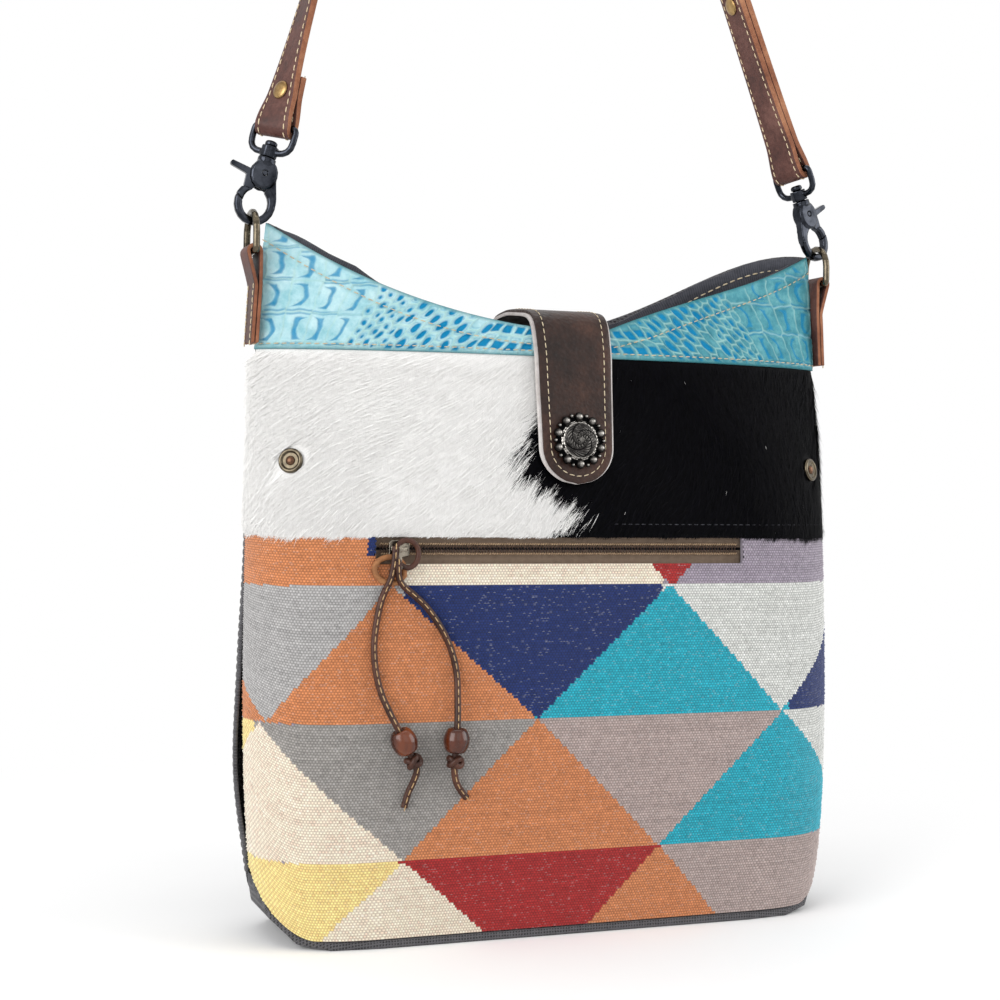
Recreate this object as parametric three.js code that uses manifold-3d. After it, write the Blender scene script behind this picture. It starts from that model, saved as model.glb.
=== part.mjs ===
// An upright shoulder bag of mixed materials: a turquoise embossed leather top band, a hair-on hide band and a
// woven triangle-pattern front over a canvas back and base, with a front zip pocket, a leather closing tab with a
// berry concho, and a leather strap carried by two swivel trigger snaps on D-rings.
// Millimetres, +Z up, +X to the viewer's right, the front faces -Y, the origin is the middle of the base.

import * as THREE from 'three';
import { mergeVertices } from 'three/addons/utils/BufferGeometryUtils.js';
import Module from 'manifold-3d';

const wasm = await Module();
wasm.setup();

// Body of the bag: each profile lists [share of the height, share of the size] pairs
const BAG_WIDTH = 343;
const BAG_DEPTH = 95;
const BAG_HEIGHT = 378;
const WIDTH_PROFILE = [
  [0, 0.933], [0.08, 0.968], [0.24, 0.994], [0.48, 1], [0.69, 0.991], [0.823, 0.974], [0.926, 0.961], [1.01, 0.945],
];
const DEPTH_PROFILE = [
  [0, 0.947], [0.106, 1], [0.265, 0.989], [0.423, 0.952], [0.548, 0.905], [0.688, 0.806], [0.823, 0.663], [1.01, 0.42],
];
const FLAT_PROFILE = [
  [0, 0.606], [0.16, 0.653], [0.57, 0.653], [0.69, 0.554], [0.823, 0.321], [0.913, 0.146], [1.01, 0.047],
];
const SQUARENESS_PROFILE = [[0, 2.6], [0.265, 2.3], [0.57, 2.0], [0.794, 1.7], [0.913, 1.35], [1.01, 1.2]];
const FLAT_SHARE = 0.55;
const COLUMNS = 18;
const SEAM_GAP = 0.25;
const GAP = 0.3;
const MOUTH_HALF = BAG_WIDTH * 0.4723;
const MOUTH_CORNER = BAG_HEIGHT;
const FRONT_MOUTH_LOW = MOUTH_CORNER - 52;
const BACK_MOUTH_LOW = MOUTH_CORNER - 49;
const BACK_MOUTH_BELLY_LEFT = 26;
const BACK_MOUTH_BELLY_RIGHT = 60;
const FRONT_MOUTH_SWELL = 43.5;
const BAND_BOTTOM = MOUTH_CORNER - 67;
const HIDE_BOTTOM = BAND_BOTTOM - 97.5;
const WOVEN_THICK = 3;
const HIDE_THICK = 2.6;
const BAND_THICK = 2.2;
const BACK_THICK = 2;
const BASE_THICK = 4.5;
const CORNER_LIFT = 32;
const LIFT_FROM = 0.72;
const BASE_END = 0.985;
const LINING_THICK = 1;
const LINING_FRONT_SETBACK = 10.4;
const LINING_BACK_SETBACK = 3.8;
const LINING_SIDE_SETBACK = 5.4;
const LINING_BELOW_MOUTH = 1.5;

// Zip pocket
const ZIP_LEFT = -112;
const ZIP_RIGHT = 101;
const ZIP_Z = HIDE_BOTTOM - 6.5;
const SLOT_BOTTOM = HIDE_BOTTOM - 14.5;
const SLOT_CORNER = 4;
const TAPE_HEIGHT = 11;
const TAPE_THICK = 0.8;
const TAPE_SETBACK = 1.2;
const COIL_HEIGHT = 2.4;
const COIL_THICK = 1.8;
const COIL_PARTING = 1.4;
const ZIP_STOP_LENGTH = 2;
const SLIDER_X = ZIP_LEFT + 13;
const SLIDER_LENGTH = 11;
const SLIDER_MOUTH = 9.4;
const SLIDER_TAIL = 7.4;
const WING_THICK = 1;
const POST_THICK = 0.9;
const POST_LENGTH = 3;
const CROWN_BAR = 1.2;
const CROWN_WIDTH = 2;
const CROWN_SPAN = 8;
const PULL_EYE_BORE = 1.55;
const PULL_EYE_WALL = 1.3;
const PULL_THICK = 1.8;
const PULL_LENGTH = 13;
const PULL_HALF = 1.9;
const PULL_HOLE = 1.65;
const PULL_TILT = 8;
const POCKET_TOP = HIDE_BOTTOM + 8.5;
const POCKET_FRONT_TOP = SLOT_BOTTOM + 2;
const POCKET_BOTTOM = 66;
const POCKET_SETBACK = 3;
const POCKET_DEPTH = 3.2;
const POCKET_WALL = 0.6;

// Lace pull: route points run from the lark's head to the cut tail, each [right of the pull, off the front, below the zip]
const LACE_RADIUS = 1.8;
const LACE_STEPS = 27;
const LACE_LOOP_RADIUS = 1.3;
const LACE_LOOP_HALF_WIDTH = 4.4;
const LACE_LOOP_HALF_HEIGHT = 4.4;
const LACE_LEFT = [
  [-4.6, 2.7, 20.6], [-8.6, 2.8, 27], [-12, 2.7, 37], [-13.6, 2.7, 49], [-13, 3.1, 61], [-10.4, 4, 73], [-6.5, 6.2, 83],
  [-2.6, 7.5, 90.8], [1.3, 7.5, 98.6], [6.5, 7.2, 109], [8.6, 6.6, 113.8], [7.4, 5, 119.4], [4.8, 3.1, 126.5],
  [3.1, 2.5, 133.4],
];
const LACE_RIGHT = [
  [2.1, 3, 20.8], [7.6, 3.3, 24], [14.8, 3.2, 30.4], [22.2, 3.2, 40.6], [28, 3.3, 52.4], [31, 3.7, 65], [30.9, 5.7, 78.4],
  [30.3, 7.5, 90], [29.8, 7.5, 99], [29.2, 7.1, 110], [29.1, 6.4, 115.6], [31.2, 4.7, 122.2], [34.4, 3, 126.6],
  [37.3, 2.5, 130],
];
const BEAD_AT = 8;
const KNOT_AT = 9;
const BEAD_RADIUS = 6.7;
const BEAD_END_RADIUS = 4.4;
const BEAD_HEIGHT = 13.4;
const BEAD_BORE = LACE_RADIUS + 0.6;
const KNOT_RADIUS = 4.7;
const KNOT_HEIGHT = 7.4;

// Closing tab, concho and magnet buttons
const TAB_WIDTH = 47;
const TAB_END_WIDTH = 40;
const TAB_LEATHER = 1.8;
const TAB_BACKING = 1.8;
const TAB_BACKING_RIM = 1.1;
const TAB_STAND_OFF = 5;
const TAB_ROOT_Z = BAND_BOTTOM - 15;
const TAB_END_Z = BAND_BOTTOM - 69;
const TAB_CREST_Z = BACK_MOUTH_LOW + 8.5;
const TAB_STATIONS = 24;
const TAB_END_STATIONS = 7;
const CONCHO_Z = BAND_BOTTOM - 46;
const CONCHO_PLATE_RADIUS = 13.4;
const CONCHO_PLATE = 1.4;
const CONCHO_DOME_RADIUS = 10;
const CONCHO_DOME = 3.6;
const BERRY_COUNT = 8;
const BERRY_RADIUS = 2.8;
const SEED_RADIUS = 1.3;
const CONCHO_POST = 1.9;
const MAGNET_RADIUS = 8;
const MAGNET_THICK = 1.4;

// Gusset snaps through both faces near each side seam
const GUSSET_Z = BAND_BOTTOM - 59;
const GUSSET_T = 0.8;
const GUSSET_FLANGE = 6.6;
const GUSSET_RIM = 1.5;
const GUSSET_BARREL = 2.2;
const GUSSET_STUD = 3.6;
const GUSSET_STUD_HEIGHT = 2.6;
const GUSSET_REACH_FRONT = 12.5;
const GUSSET_REACH_BACK = 8;

// Side tabs and D-rings
const RING_STAND_OFF = 6.2;
const RING_WIRE = 2;
const SIDE_TAB_WIDTH = 18;
const RING_SIDE_PLAY = 1;
const RING_HALF = SIDE_TAB_WIDTH / 2 + RING_SIDE_PLAY + RING_WIRE;
const RING_BAR_Z = MOUTH_CORNER - 16;
const RING_ARC_Z = RING_BAR_Z + 9.5;
const RING_CORNER = 3;
const SIDE_TAB_THICK = 2;
const SIDE_TAB_BOTTOM = RING_BAR_Z - 48;
const SIDE_TAB_JOIN = RING_BAR_Z - 18;
const SIDE_TAB_SEAT = 0.5;
const BAR_CLEARANCE = 0.35;

// Swivel trigger snaps: heights run up the snap's own axis from the middle of the ring wire
const LEFT_LEAN = 15;
const RIGHT_LEAN = 21.5;
const RIGHT_SWIVEL = 20;
const BIGHT_PLAY = 0.7;
const BIGHT_WALL = 4.3;
const BIGHT_HOLE_WIDTH = 3.4 * RING_WIRE;
const BIGHT_HOLE_HEIGHT = 3.8 * RING_WIRE;
const BIGHT_MIDDLE = BIGHT_HOLE_HEIGHT - RING_WIRE - BIGHT_PLAY;
const BIGHT_WIDTH = BIGHT_HOLE_WIDTH + BIGHT_WALL;
const BIGHT_HEIGHT = BIGHT_HOLE_HEIGHT + BIGHT_WALL;
const BIGHT_THICK = 5;
const SNAP_BEVEL = 1.1;
const SHOULDER_MIDDLE = 21;
const SHOULDER_WIDTH = 7.4;
const SHOULDER_HEIGHT = 8.6;
const SHOULDER_THICK = 8;
const PIVOT_ACROSS = 0.4;
const PIVOT_UP = 21.5;
const TRIGGER_THICK = 3.6;
const TRIGGER_SLOT = TRIGGER_THICK + 0.7;
const TRIGGER_LUG = 4.4;
const TRIGGER_NOSE_OUTER = 7.2;
const TRIGGER_NOSE_SLOPE = 0.7;
const TRIGGER_ARM_TOP = 11.5;
const TRIGGER_LEVER = 18.4;
const PIN_RADIUS = 1.3;
const PIN_BORE = PIN_RADIUS + 0.3;
const COLLAR_TOP = 30;
const COLLAR_RADIUS = 5;
const SHANK_RADIUS = 2.2;
const SHANK_BORE = SHANK_RADIUS + 0.35;
const BOSS_RADIUS = SHANK_RADIUS + 2.5;
const BOSS_HEIGHT = 6.2;
const HEAD_RADIUS = SHANK_RADIUS + 1.2;
const HEAD_HEIGHT = 2.8;
const EYE_BAR_UP = 48;
const EYE_WIRE = 1.9;
const EYE_CORNER = 3;

// Strap
const STRAP_WIDTH = 20;
const STRAP_SIDE_PLAY = 0.5;
const EYE_HALF = STRAP_WIDTH / 2 + STRAP_SIDE_PLAY + EYE_WIRE;
const STRAP_THICK = 3.6;
const STRAP_ARCH_RADIUS = 122;
const STRAP_LAYER_GAP = 0.3;
const STRAP_CLOSE = 18;
const LEFT_RETURN = 28;
const RIGHT_RETURN = 112;
const LEFT_RIVET_UP = 19;
const RIGHT_RIVET_UP = 102;
const LEFT_TWIST = 50;
const RIGHT_TWIST = 23;
const TWIST_REST = 0.3;
const TWIST_LENGTH = 26;
const TWIST_FADE = 120;
const RIVET_HEAD = 5;
const RIVET_HEAD_HEIGHT = 1.4;
const RIVET_POST = 1.7;
const RIVET_BORE = RIVET_POST + 0.4;

const finish = (color, roughness, metalness = 0) => new THREE.MeshStandardMaterial({ color, roughness, metalness });
const bag = new THREE.Group();
const add = (name, geometry, material, parent = bag) => {
  const mesh = new THREE.Mesh(geometry, material);
  mesh.name = name;
  parent.add(mesh);
  return mesh;
};

// Solids: joining, cutting and lofting

const toSolid = (geometry) => {
  const bare = geometry.clone();
  bare.deleteAttribute('normal');
  bare.deleteAttribute('uv');
  const merged = mergeVertices(bare, 1e-4);
  const vertProperties = new Float32Array(merged.attributes.position.array);
  const triVerts = new Uint32Array(merged.index.array);
  return new wasm.Manifold(new wasm.Mesh({ numProp: 3, vertProperties, triVerts }));
};

const toGeometry = (solid) => {
  const mesh = solid.getMesh();
  const geometry = new THREE.BufferGeometry();
  geometry.setAttribute('position', new THREE.BufferAttribute(new Float32Array(mesh.vertProperties), 3));
  geometry.setIndex(new THREE.BufferAttribute(new Uint32Array(mesh.triVerts), 1));
  return geometry;
};

const joined = (...pieces) => toGeometry(pieces.map(toSolid).reduce((whole, piece) => whole.add(piece)));
const cut = (piece, ...cutters) => toGeometry(cutters.map(toSolid).reduce((left, c) => left.subtract(c), toSolid(piece)));
const common = (a, b) => toGeometry(toSolid(a).intersect(toSolid(b)));

const signedVolume = (points, index) => {
  let sum = 0;
  for (let i = 0; i < index.length; i += 3) {
    const [a, b, c] = [points[index[i]], points[index[i + 1]], points[index[i + 2]]];
    sum += a.dot(b.clone().cross(c));
  }
  return sum;
};

// A closed solid through rings that have the same number of points; open ends are capped in strips across the ring
const loft = (rings, endless = false) => {
  const size = rings[0].length;
  const points = rings.flat();
  const index = [];
  const last = endless ? rings.length : rings.length - 1;
  for (let i = 0; i < last; i += 1) {
    const here = i * size;
    const there = ((i + 1) % rings.length) * size;
    for (let j = 0; j < size; j += 1) {
      const k = (j + 1) % size;
      index.push(here + j, here + k, there + k, here + j, there + k, there + j);
    }
  }
  const cap = (start, turned) => {
    for (let j = 0; j < size / 2 - 1; j += 1) {
      const quad = [start + j, start + j + 1, start + size - 2 - j, start + size - 1 - j];
      const [a, b, c, d] = turned ? quad.toReversed() : quad;
      index.push(a, b, c);
      index.push(a, c, d);
    }
  };
  if (!endless) {
    cap(0, true);
    cap((rings.length - 1) * size, false);
  }
  const outward = signedVolume(points, index) > 0 ? index : index.toReversed();
  const geometry = new THREE.BufferGeometry().setFromPoints(points);
  geometry.setIndex(outward);
  return geometry;
};

// A band of leather or tape: each station is { at, across, width } and the band bends along its stations
const band = (stations, thick, lift = 0) => {
  const rings = stations.map(({ at, across, width }, i) => {
    const before = stations[Math.max(i - 1, 0)].at;
    const after = stations[Math.min(i + 1, stations.length - 1)].at;
    const along = after.clone().sub(before).normalize();
    const face = along.clone().cross(across).normalize();
    const corner = (w, h) => at.clone().addScaledVector(across, w * width / 2).addScaledVector(face, lift + h * thick / 2);
    return [corner(-1, 1), corner(1, 1), corner(1, -1), corner(-1, -1)];
  });
  return loft(rings);
};

// A closed wire loop through points in one plane
const wireLoop = (points, normal, radius, sides = 8) => {
  const rings = points.map((point, i) => {
    const before = points[(i + points.length - 1) % points.length];
    const after = points[(i + 1) % points.length];
    const along = after.clone().sub(before).normalize();
    const inward = normal.clone().cross(along).normalize();
    return Array.from({ length: sides }, (_, k) => {
      const turn = (k + 0.5) * 2 * Math.PI / sides;
      const offset = inward.clone().multiplyScalar(Math.cos(turn) * radius);
      return point.clone().add(offset).addScaledVector(normal, Math.sin(turn) * radius);
    });
  });
  return loft(rings, true);
};

const extruded = (shape, depth, bevel = 0, curveSegments = 12) => {
  const options = { depth: depth - 2 * bevel, curveSegments, bevelEnabled: bevel > 0 };
  Object.assign(options, { bevelThickness: bevel, bevelSize: bevel, bevelOffset: -bevel, bevelSegments: 1 });
  const geometry = new THREE.ExtrudeGeometry(shape, options);
  return geometry.translate(0, 0, bevel - depth / 2);
};
const upright = (geometry) => geometry.rotateX(Math.PI / 2);
const sideways = (geometry) => {
  const turn = new THREE.Matrix4();
  turn.makeBasis(new THREE.Vector3(0, 1, 0), new THREE.Vector3(0, 0, 1), new THREE.Vector3(1, 0, 0));
  return geometry.applyMatrix4(turn);
};
const polygon = (points) => new THREE.Shape(points.map(([x, y]) => new THREE.Vector2(x, y)));
const ellipse = (x, y, halfWidth, halfHeight) => new THREE.Shape().absellipse(x, y, halfWidth, halfHeight, 0, 2 * Math.PI);
const turned = (profile, segments = 20) => {
  const points = profile.map(([radius, height]) => new THREE.Vector2(radius, height));
  return upright(new THREE.LatheGeometry(points, segments));
};
const boxBetween = (low, high) => {
  const size = high.map((value, i) => value - low[i]);
  const geometry = new THREE.BoxGeometry(...size);
  return geometry.translate(...low.map((value, i) => value + size[i] / 2));
};

// Outer skin of the bag

// A smooth curve through [height, value] pairs, with level slopes beyond its ends
const profile = (pairs) => (z) => {
  const last = pairs.length - 1;
  if (z <= pairs[0][0]) return pairs[0][1];
  if (z >= pairs[last][0]) return pairs[last][1];
  const i = pairs.findIndex(([height]) => height > z) - 1;
  const slope = (k) => {
    const [low, high] = [Math.max(k - 1, 0), Math.min(k + 1, last)];
    return (pairs[high][1] - pairs[low][1]) / (pairs[high][0] - pairs[low][0]);
  };
  const span = pairs[i + 1][0] - pairs[i][0];
  const u = (z - pairs[i][0]) / span;
  const [a, b] = [pairs[i][1], pairs[i + 1][1]];
  const [ma, mb] = [slope(i) * span, slope(i + 1) * span];
  return a + ma * u + (3 * (b - a) - 2 * ma - mb) * u * u + (ma + mb - 2 * (b - a)) * u * u * u;
};
const scaled = (pairs, size) => profile(pairs.map(([height, share]) => [height * BAG_HEIGHT, share * size]));
const halfWidth = scaled(WIDTH_PROFILE, BAG_WIDTH / 2);
const halfDepth = scaled(DEPTH_PROFILE, BAG_DEPTH / 2);
const flatHalf = scaled(FLAT_PROFILE, BAG_WIDTH / 2);
const squareness = scaled(SQUARENESS_PROFILE, 1);
const ringPlane = halfWidth(RING_BAR_Z) + RING_STAND_OFF;

// side is -1 in front and 1 behind; t runs from -1 at the left seam to 1 at the right seam
const skin = (side, t, z, depthInset = 0, widthInset = depthInset) => {
  const share = Math.abs(t);
  const flat = flatHalf(z);
  const depth = halfDepth(z) - depthInset;
  const power = 2 / squareness(z);
  const corner = Math.max(0, (share - FLAT_SHARE) / (1 - FLAT_SHARE)) * Math.PI / 2;
  const straight = flat * Math.min(1, share / FLAT_SHARE);
  const x = straight + (halfWidth(z) - widthInset - flat) * Math.sin(corner) ** power;
  const y = SEAM_GAP + (depth - SEAM_GAP) * Math.max(0, Math.cos(corner)) ** power;
  return new THREE.Vector3(Math.sign(t) * x, side * y, z);
};

const skinNormal = (side, t, z) => {
  const step = 0.01;
  const along = skin(side, t + step, z).sub(skin(side, t - step, z));
  const up = skin(side, t, z + 1).sub(skin(side, t, z - 1));
  return along.cross(up).multiplyScalar(-side).normalize();
};

// The front edge dips in a plain curve on the left and stands fuller to the right of the closing tab
const frontMouth = (x) => {
  const u = (x / MOUTH_HALF) ** 2;
  const v = Math.min(1, Math.max(0, (x - TAB_WIDTH / 2) / (MOUTH_HALF - TAB_WIDTH / 2)));
  return FRONT_MOUTH_LOW + (MOUTH_CORNER - FRONT_MOUTH_LOW) * u + FRONT_MOUTH_SWELL * v * (1 - v) ** 1.5;
};
const backMouth = (x) => {
  const u = (x / MOUTH_HALF) ** 2;
  const belly = x < 0 ? BACK_MOUTH_BELLY_LEFT : BACK_MOUTH_BELLY_RIGHT;
  return BACK_MOUTH_LOW + (MOUTH_CORNER - BACK_MOUTH_LOW) * u + belly * u * (1 - u);
};
const mouth = (side) => (side < 0 ? frontMouth : backMouth);

// The height at which the line of constant t meets the mouth edge
const mouthHeight = (side, t) => {
  let z = FRONT_MOUTH_LOW;
  for (let i = 0; i < 60; i += 1) {
    z += 0.5 * (Math.min(mouth(side)(skin(side, t, z).x), MOUTH_CORNER + BACK_MOUTH_BELLY_RIGHT) - z);
  }
  return z;
};
const baseLift = (t) => CORNER_LIFT * Math.max(0, (Math.abs(t) - LIFT_FROM) / (1 - LIFT_FROM)) ** 1.6;
const columns = Array.from({ length: COLUMNS + 1 }, (_, i) => 2 * i / COLUMNS - 1);

const panel = (side, low, high, thick, rows) => {
  const rings = columns.map((t) => {
    const heights = Array.from({ length: rows + 1 }, (_, j) => low(t) + (high(t) - low(t)) * j / rows);
    const outer = heights.map((z) => skin(side, t, z));
    const inner = heights.map((z) => skin(side, t, z, thick));
    return [...outer, ...inner.toReversed()];
  });
  return loft(rings);
};

const panelFoot = (t) => baseLift(t) + BASE_THICK + 2 * GAP;

const slotShape = new THREE.Shape();
slotShape.moveTo(ZIP_LEFT, HIDE_BOTTOM + SLOT_CORNER);
slotShape.lineTo(ZIP_LEFT, SLOT_BOTTOM + SLOT_CORNER);
slotShape.quadraticCurveTo(ZIP_LEFT, SLOT_BOTTOM, ZIP_LEFT + SLOT_CORNER, SLOT_BOTTOM);
slotShape.lineTo(ZIP_RIGHT - SLOT_CORNER, SLOT_BOTTOM);
slotShape.quadraticCurveTo(ZIP_RIGHT, SLOT_BOTTOM, ZIP_RIGHT, SLOT_BOTTOM + SLOT_CORNER);
slotShape.lineTo(ZIP_RIGHT, HIDE_BOTTOM + SLOT_CORNER);
const slotDepth = 4 * WOVEN_THICK;
const slotCutter = upright(extruded(slotShape, slotDepth, 0, 4)).translate(0, -halfDepth(ZIP_Z), 0);
const wovenPanel = cut(panel(-1, panelFoot, () => HIDE_BOTTOM - GAP, WOVEN_THICK, 6), slotCutter);
add('woven_front_panel', wovenPanel, finish(0xc88255, 0.9));

// Gusset snaps: a flanged post outside and a stud or socket inside, on one barrel through the wall
const gussets = [];
for (const [face, side] of [['front', -1], ['back', 1]]) {
  for (const [hand, sign] of [['left', -1], ['right', 1]]) {
    const outside = skin(side, sign * GUSSET_T, GUSSET_Z);
    const normal = skinNormal(side, sign * GUSSET_T, GUSSET_Z);
    gussets.push({ face, hand, side, outside, normal });
  }
}
const liningDepthInset = (side) => (side < 0 ? LINING_FRONT_SETBACK : LINING_BACK_SETBACK);
const liningSkin = (side, t, z, inset) => skin(side, t, z, liningDepthInset(side) + inset, LINING_SIDE_SETBACK + inset);
const gussetReach = LINING_FRONT_SETBACK + 4 * LINING_THICK;
const facing = (geometry, normal, at) => {
  const turn = new THREE.Quaternion().setFromUnitVectors(new THREE.Vector3(0, 0, 1), normal);
  return geometry.applyQuaternion(turn).translate(at.x, at.y, at.z);
};
const gussetBore = ({ normal, outside }) => {
  const radius = GUSSET_BARREL + GAP;
  const hole = turned([[0, -gussetReach], [radius, -gussetReach], [radius, gussetReach], [0, gussetReach]], 12);
  return facing(hole, normal, outside);
};
const boresOf = (side) => gussets.filter((snap) => snap.side === side).map(gussetBore);

const hideBand = panel(-1, () => HIDE_BOTTOM, () => BAND_BOTTOM, HIDE_THICK, 4);
add('hide_band', cut(hideBand, ...boresOf(-1)), finish(0xe8e6e2, 0.85));
const frontTop = (t) => mouthHeight(-1, t);
const backTop = (t) => mouthHeight(1, t);
add('embossed_top_band', panel(-1, () => BAND_BOTTOM + GAP, frontTop, BAND_THICK, 4), finish(0x7fc9cf, 0.4));
add('canvas_back_panel', cut(panel(1, panelFoot, backTop, BACK_THICK, 8), ...boresOf(1)), finish(0x3f4144, 0.95));

const baseColumns = columns.map((t) => Math.max(-BASE_END, Math.min(BASE_END, t)));
const baseRings = baseColumns.map((t) => {
  const lift = baseLift(t);
  const rim = [-1, 1].map((side) => skin(side, t, lift + BASE_THICK));
  const low = rim.map((point) => point.clone().setZ(lift));
  return [low[0], low[1], rim[1], rim[0]];
});
add('canvas_base', loft(baseRings), finish(0x35373a, 0.95));

// Lining: a pouch with its own floor and open mouth
const liningRows = 8;
const liningRing = (row, inset) => {
  const wall = (side, t) => {
    const low = baseLift(t) + BASE_THICK + LINING_THICK + inset;
    const high = mouthHeight(side, t) - LINING_BELOW_MOUTH;
    return liningSkin(side, t, low + (high - low) * row / liningRows, inset);
  };
  return [...columns.map((t) => wall(-1, t)), ...columns.toReversed().map((t) => wall(1, t))];
};
const liningOuter = Array.from({ length: liningRows + 1 }, (_, row) => liningRing(row, 0));
const liningInner = Array.from({ length: liningRows + 1 }, (_, row) => liningRing(liningRows - row, LINING_THICK));
const lining = loft([...liningOuter, ...liningInner]);
add('lining', cut(lining, ...gussets.map(gussetBore)), finish(0x4a4d52, 0.95));

for (const snap of gussets) {
  const back = -(snap.side < 0 ? GUSSET_REACH_FRONT : GUSSET_REACH_BACK);
  const front = 2 * GAP;
  const stud = back - GUSSET_STUD_HEIGHT;
  const wholeSnap = turned([
    [0, stud], [GUSSET_STUD - 0.6, stud], [GUSSET_STUD, stud + 0.7], [GUSSET_STUD - 0.5, back - 0.7],
    [GUSSET_FLANGE - 1, back - 0.7], [GUSSET_FLANGE - 1, back], [GUSSET_BARREL, back], [GUSSET_BARREL, front],
    [GUSSET_FLANGE, front], [GUSSET_FLANGE, front + 0.6], [GUSSET_FLANGE - 1, front + GUSSET_RIM],
    [GUSSET_FLANGE - 2.4, front + GUSSET_RIM - 0.3], [GUSSET_BARREL + 0.4, front + 0.5],
    [GUSSET_BARREL - 0.4, front + GUSSET_RIM], [0, front + GUSSET_RIM + 0.3],
  ], 10);
  const name = `gusset_snap_${snap.face}_${snap.hand}`;
  add(name, facing(wholeSnap, snap.normal, snap.outside), finish(0x4b4038, 0.4, 0.9));
}

// Zip: two tapes, each with its coil; the slider's post runs in the parting between the coils
const brass = () => finish(0x6b5a45, 0.35, 0.9);
const tapeFrontY = -(halfDepth(ZIP_Z) - WOVEN_THICK - TAPE_SETBACK);
const tapeBackY = tapeFrontY + TAPE_THICK;
const coilBackY = tapeFrontY - GAP;
const coilFrontY = coilBackY - COIL_THICK;
for (const [hand, sign] of [['upper', 1], ['lower', -1]]) {
  const strip = (from, to, near, far) => {
    const heights = [ZIP_Z + sign * near, ZIP_Z + sign * far].sort((a, b) => a - b);
    return boxBetween([from[0], from[1], heights[0]], [to[0], to[1], heights[1]]);
  };
  const reach = ZIP_STOP_LENGTH / 2;
  const tape = strip([ZIP_LEFT - reach, tapeFrontY], [ZIP_RIGHT + reach, tapeBackY], COIL_PARTING / 2, TAPE_HEIGHT);
  add(`zip_tape_${hand}`, tape, finish(0x6f655c, 0.9));
  const ends = [ZIP_LEFT + ZIP_STOP_LENGTH, ZIP_RIGHT - ZIP_STOP_LENGTH];
  const far = COIL_PARTING / 2 + COIL_HEIGHT;
  const coil = strip([ends[0], coilFrontY], [ends[1], coilBackY], COIL_PARTING / 2, far);
  add(`zip_coil_${hand}`, coil, finish(0x57493c, 0.5, 0.3));
}

const wingShape = polygon([
  [-SLIDER_LENGTH / 2, -SLIDER_MOUTH / 2 + 1.2], [-SLIDER_LENGTH / 2 + 1.2, -SLIDER_MOUTH / 2],
  [0, -SLIDER_MOUTH / 2], [SLIDER_LENGTH / 2, -SLIDER_TAIL / 2], [SLIDER_LENGTH / 2, SLIDER_TAIL / 2],
  [0, SLIDER_MOUTH / 2], [-SLIDER_LENGTH / 2 + 1.2, SLIDER_MOUTH / 2],
  [-SLIDER_LENGTH / 2, SLIDER_MOUTH / 2 - 1.2],
]);
const wingBackY = tapeBackY + GAP + WING_THICK / 2;
const wingFrontY = coilFrontY - GAP - WING_THICK / 2;
const wing = (y) => upright(extruded(wingShape, WING_THICK)).translate(SLIDER_X, y, ZIP_Z);
const postLeft = SLIDER_X - SLIDER_LENGTH / 2 + 0.6;
const post = boxBetween(
  [postLeft, wingFrontY, ZIP_Z - POST_THICK / 2],
  [postLeft + POST_LENGTH, wingBackY, ZIP_Z + POST_THICK / 2],
);
const crownEyeOuter = PULL_EYE_BORE + PULL_EYE_WALL;
const crownAxisY = wingFrontY - WING_THICK / 2 - GAP - crownEyeOuter;
const crownOutY = crownAxisY - CROWN_BAR / 2;
const crownInY = crownAxisY + CROWN_BAR / 2;
const crownShape = polygon([
  [-CROWN_SPAN / 2, wingFrontY], [-CROWN_SPAN / 2, crownInY], [-CROWN_SPAN / 2 + 0.8, crownOutY],
  [CROWN_SPAN / 2 - 0.8, crownOutY], [CROWN_SPAN / 2, crownInY], [CROWN_SPAN / 2, wingFrontY],
  [CROWN_SPAN / 2 - CROWN_BAR, wingFrontY], [CROWN_SPAN / 2 - CROWN_BAR, crownInY],
  [-CROWN_SPAN / 2 + CROWN_BAR, crownInY], [-CROWN_SPAN / 2 + CROWN_BAR, wingFrontY],
]);
const crown = extruded(crownShape, CROWN_WIDTH).translate(SLIDER_X, 0, ZIP_Z);
add('zip_slider', joined(wing(wingBackY), wing(wingFrontY), post, crown), brass());

// Pull: a plate hung edge-on round the crown, bored below for the lace
const pullX = SLIDER_X - 1;
const pullShape = new THREE.Shape();
const pullHoleDrop = PULL_LENGTH - 2 * PULL_EYE_WALL - PULL_HOLE;
pullShape.moveTo(PULL_HALF, -crownEyeOuter * 0.8);
pullShape.absarc(0, 0, crownEyeOuter, -0.84, Math.PI + 0.84, false);
pullShape.lineTo(-PULL_HALF, -pullHoleDrop);
pullShape.absarc(0, -pullHoleDrop, PULL_HOLE + 0.9, Math.PI, 2 * Math.PI, false);
pullShape.lineTo(PULL_HALF, -crownEyeOuter * 0.8);
const roundHole = (x, y, radius) => new THREE.Path().absarc(x, y, radius, 0, 2 * Math.PI, true);
pullShape.holes.push(roundHole(0, 0, PULL_EYE_BORE), roundHole(0, -pullHoleDrop, PULL_HOLE));
const pullTilt = THREE.MathUtils.degToRad(PULL_TILT);
const pullPlate = sideways(extruded(pullShape, PULL_THICK, 0, 5)).rotateX(-pullTilt);
add('zip_pull', pullPlate.translate(pullX, crownAxisY, ZIP_Z), brass());
const pullHoleY = crownAxisY - pullHoleDrop * Math.sin(pullTilt);
const pullHoleZ = ZIP_Z - pullHoleDrop * Math.cos(pullTilt);

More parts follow.
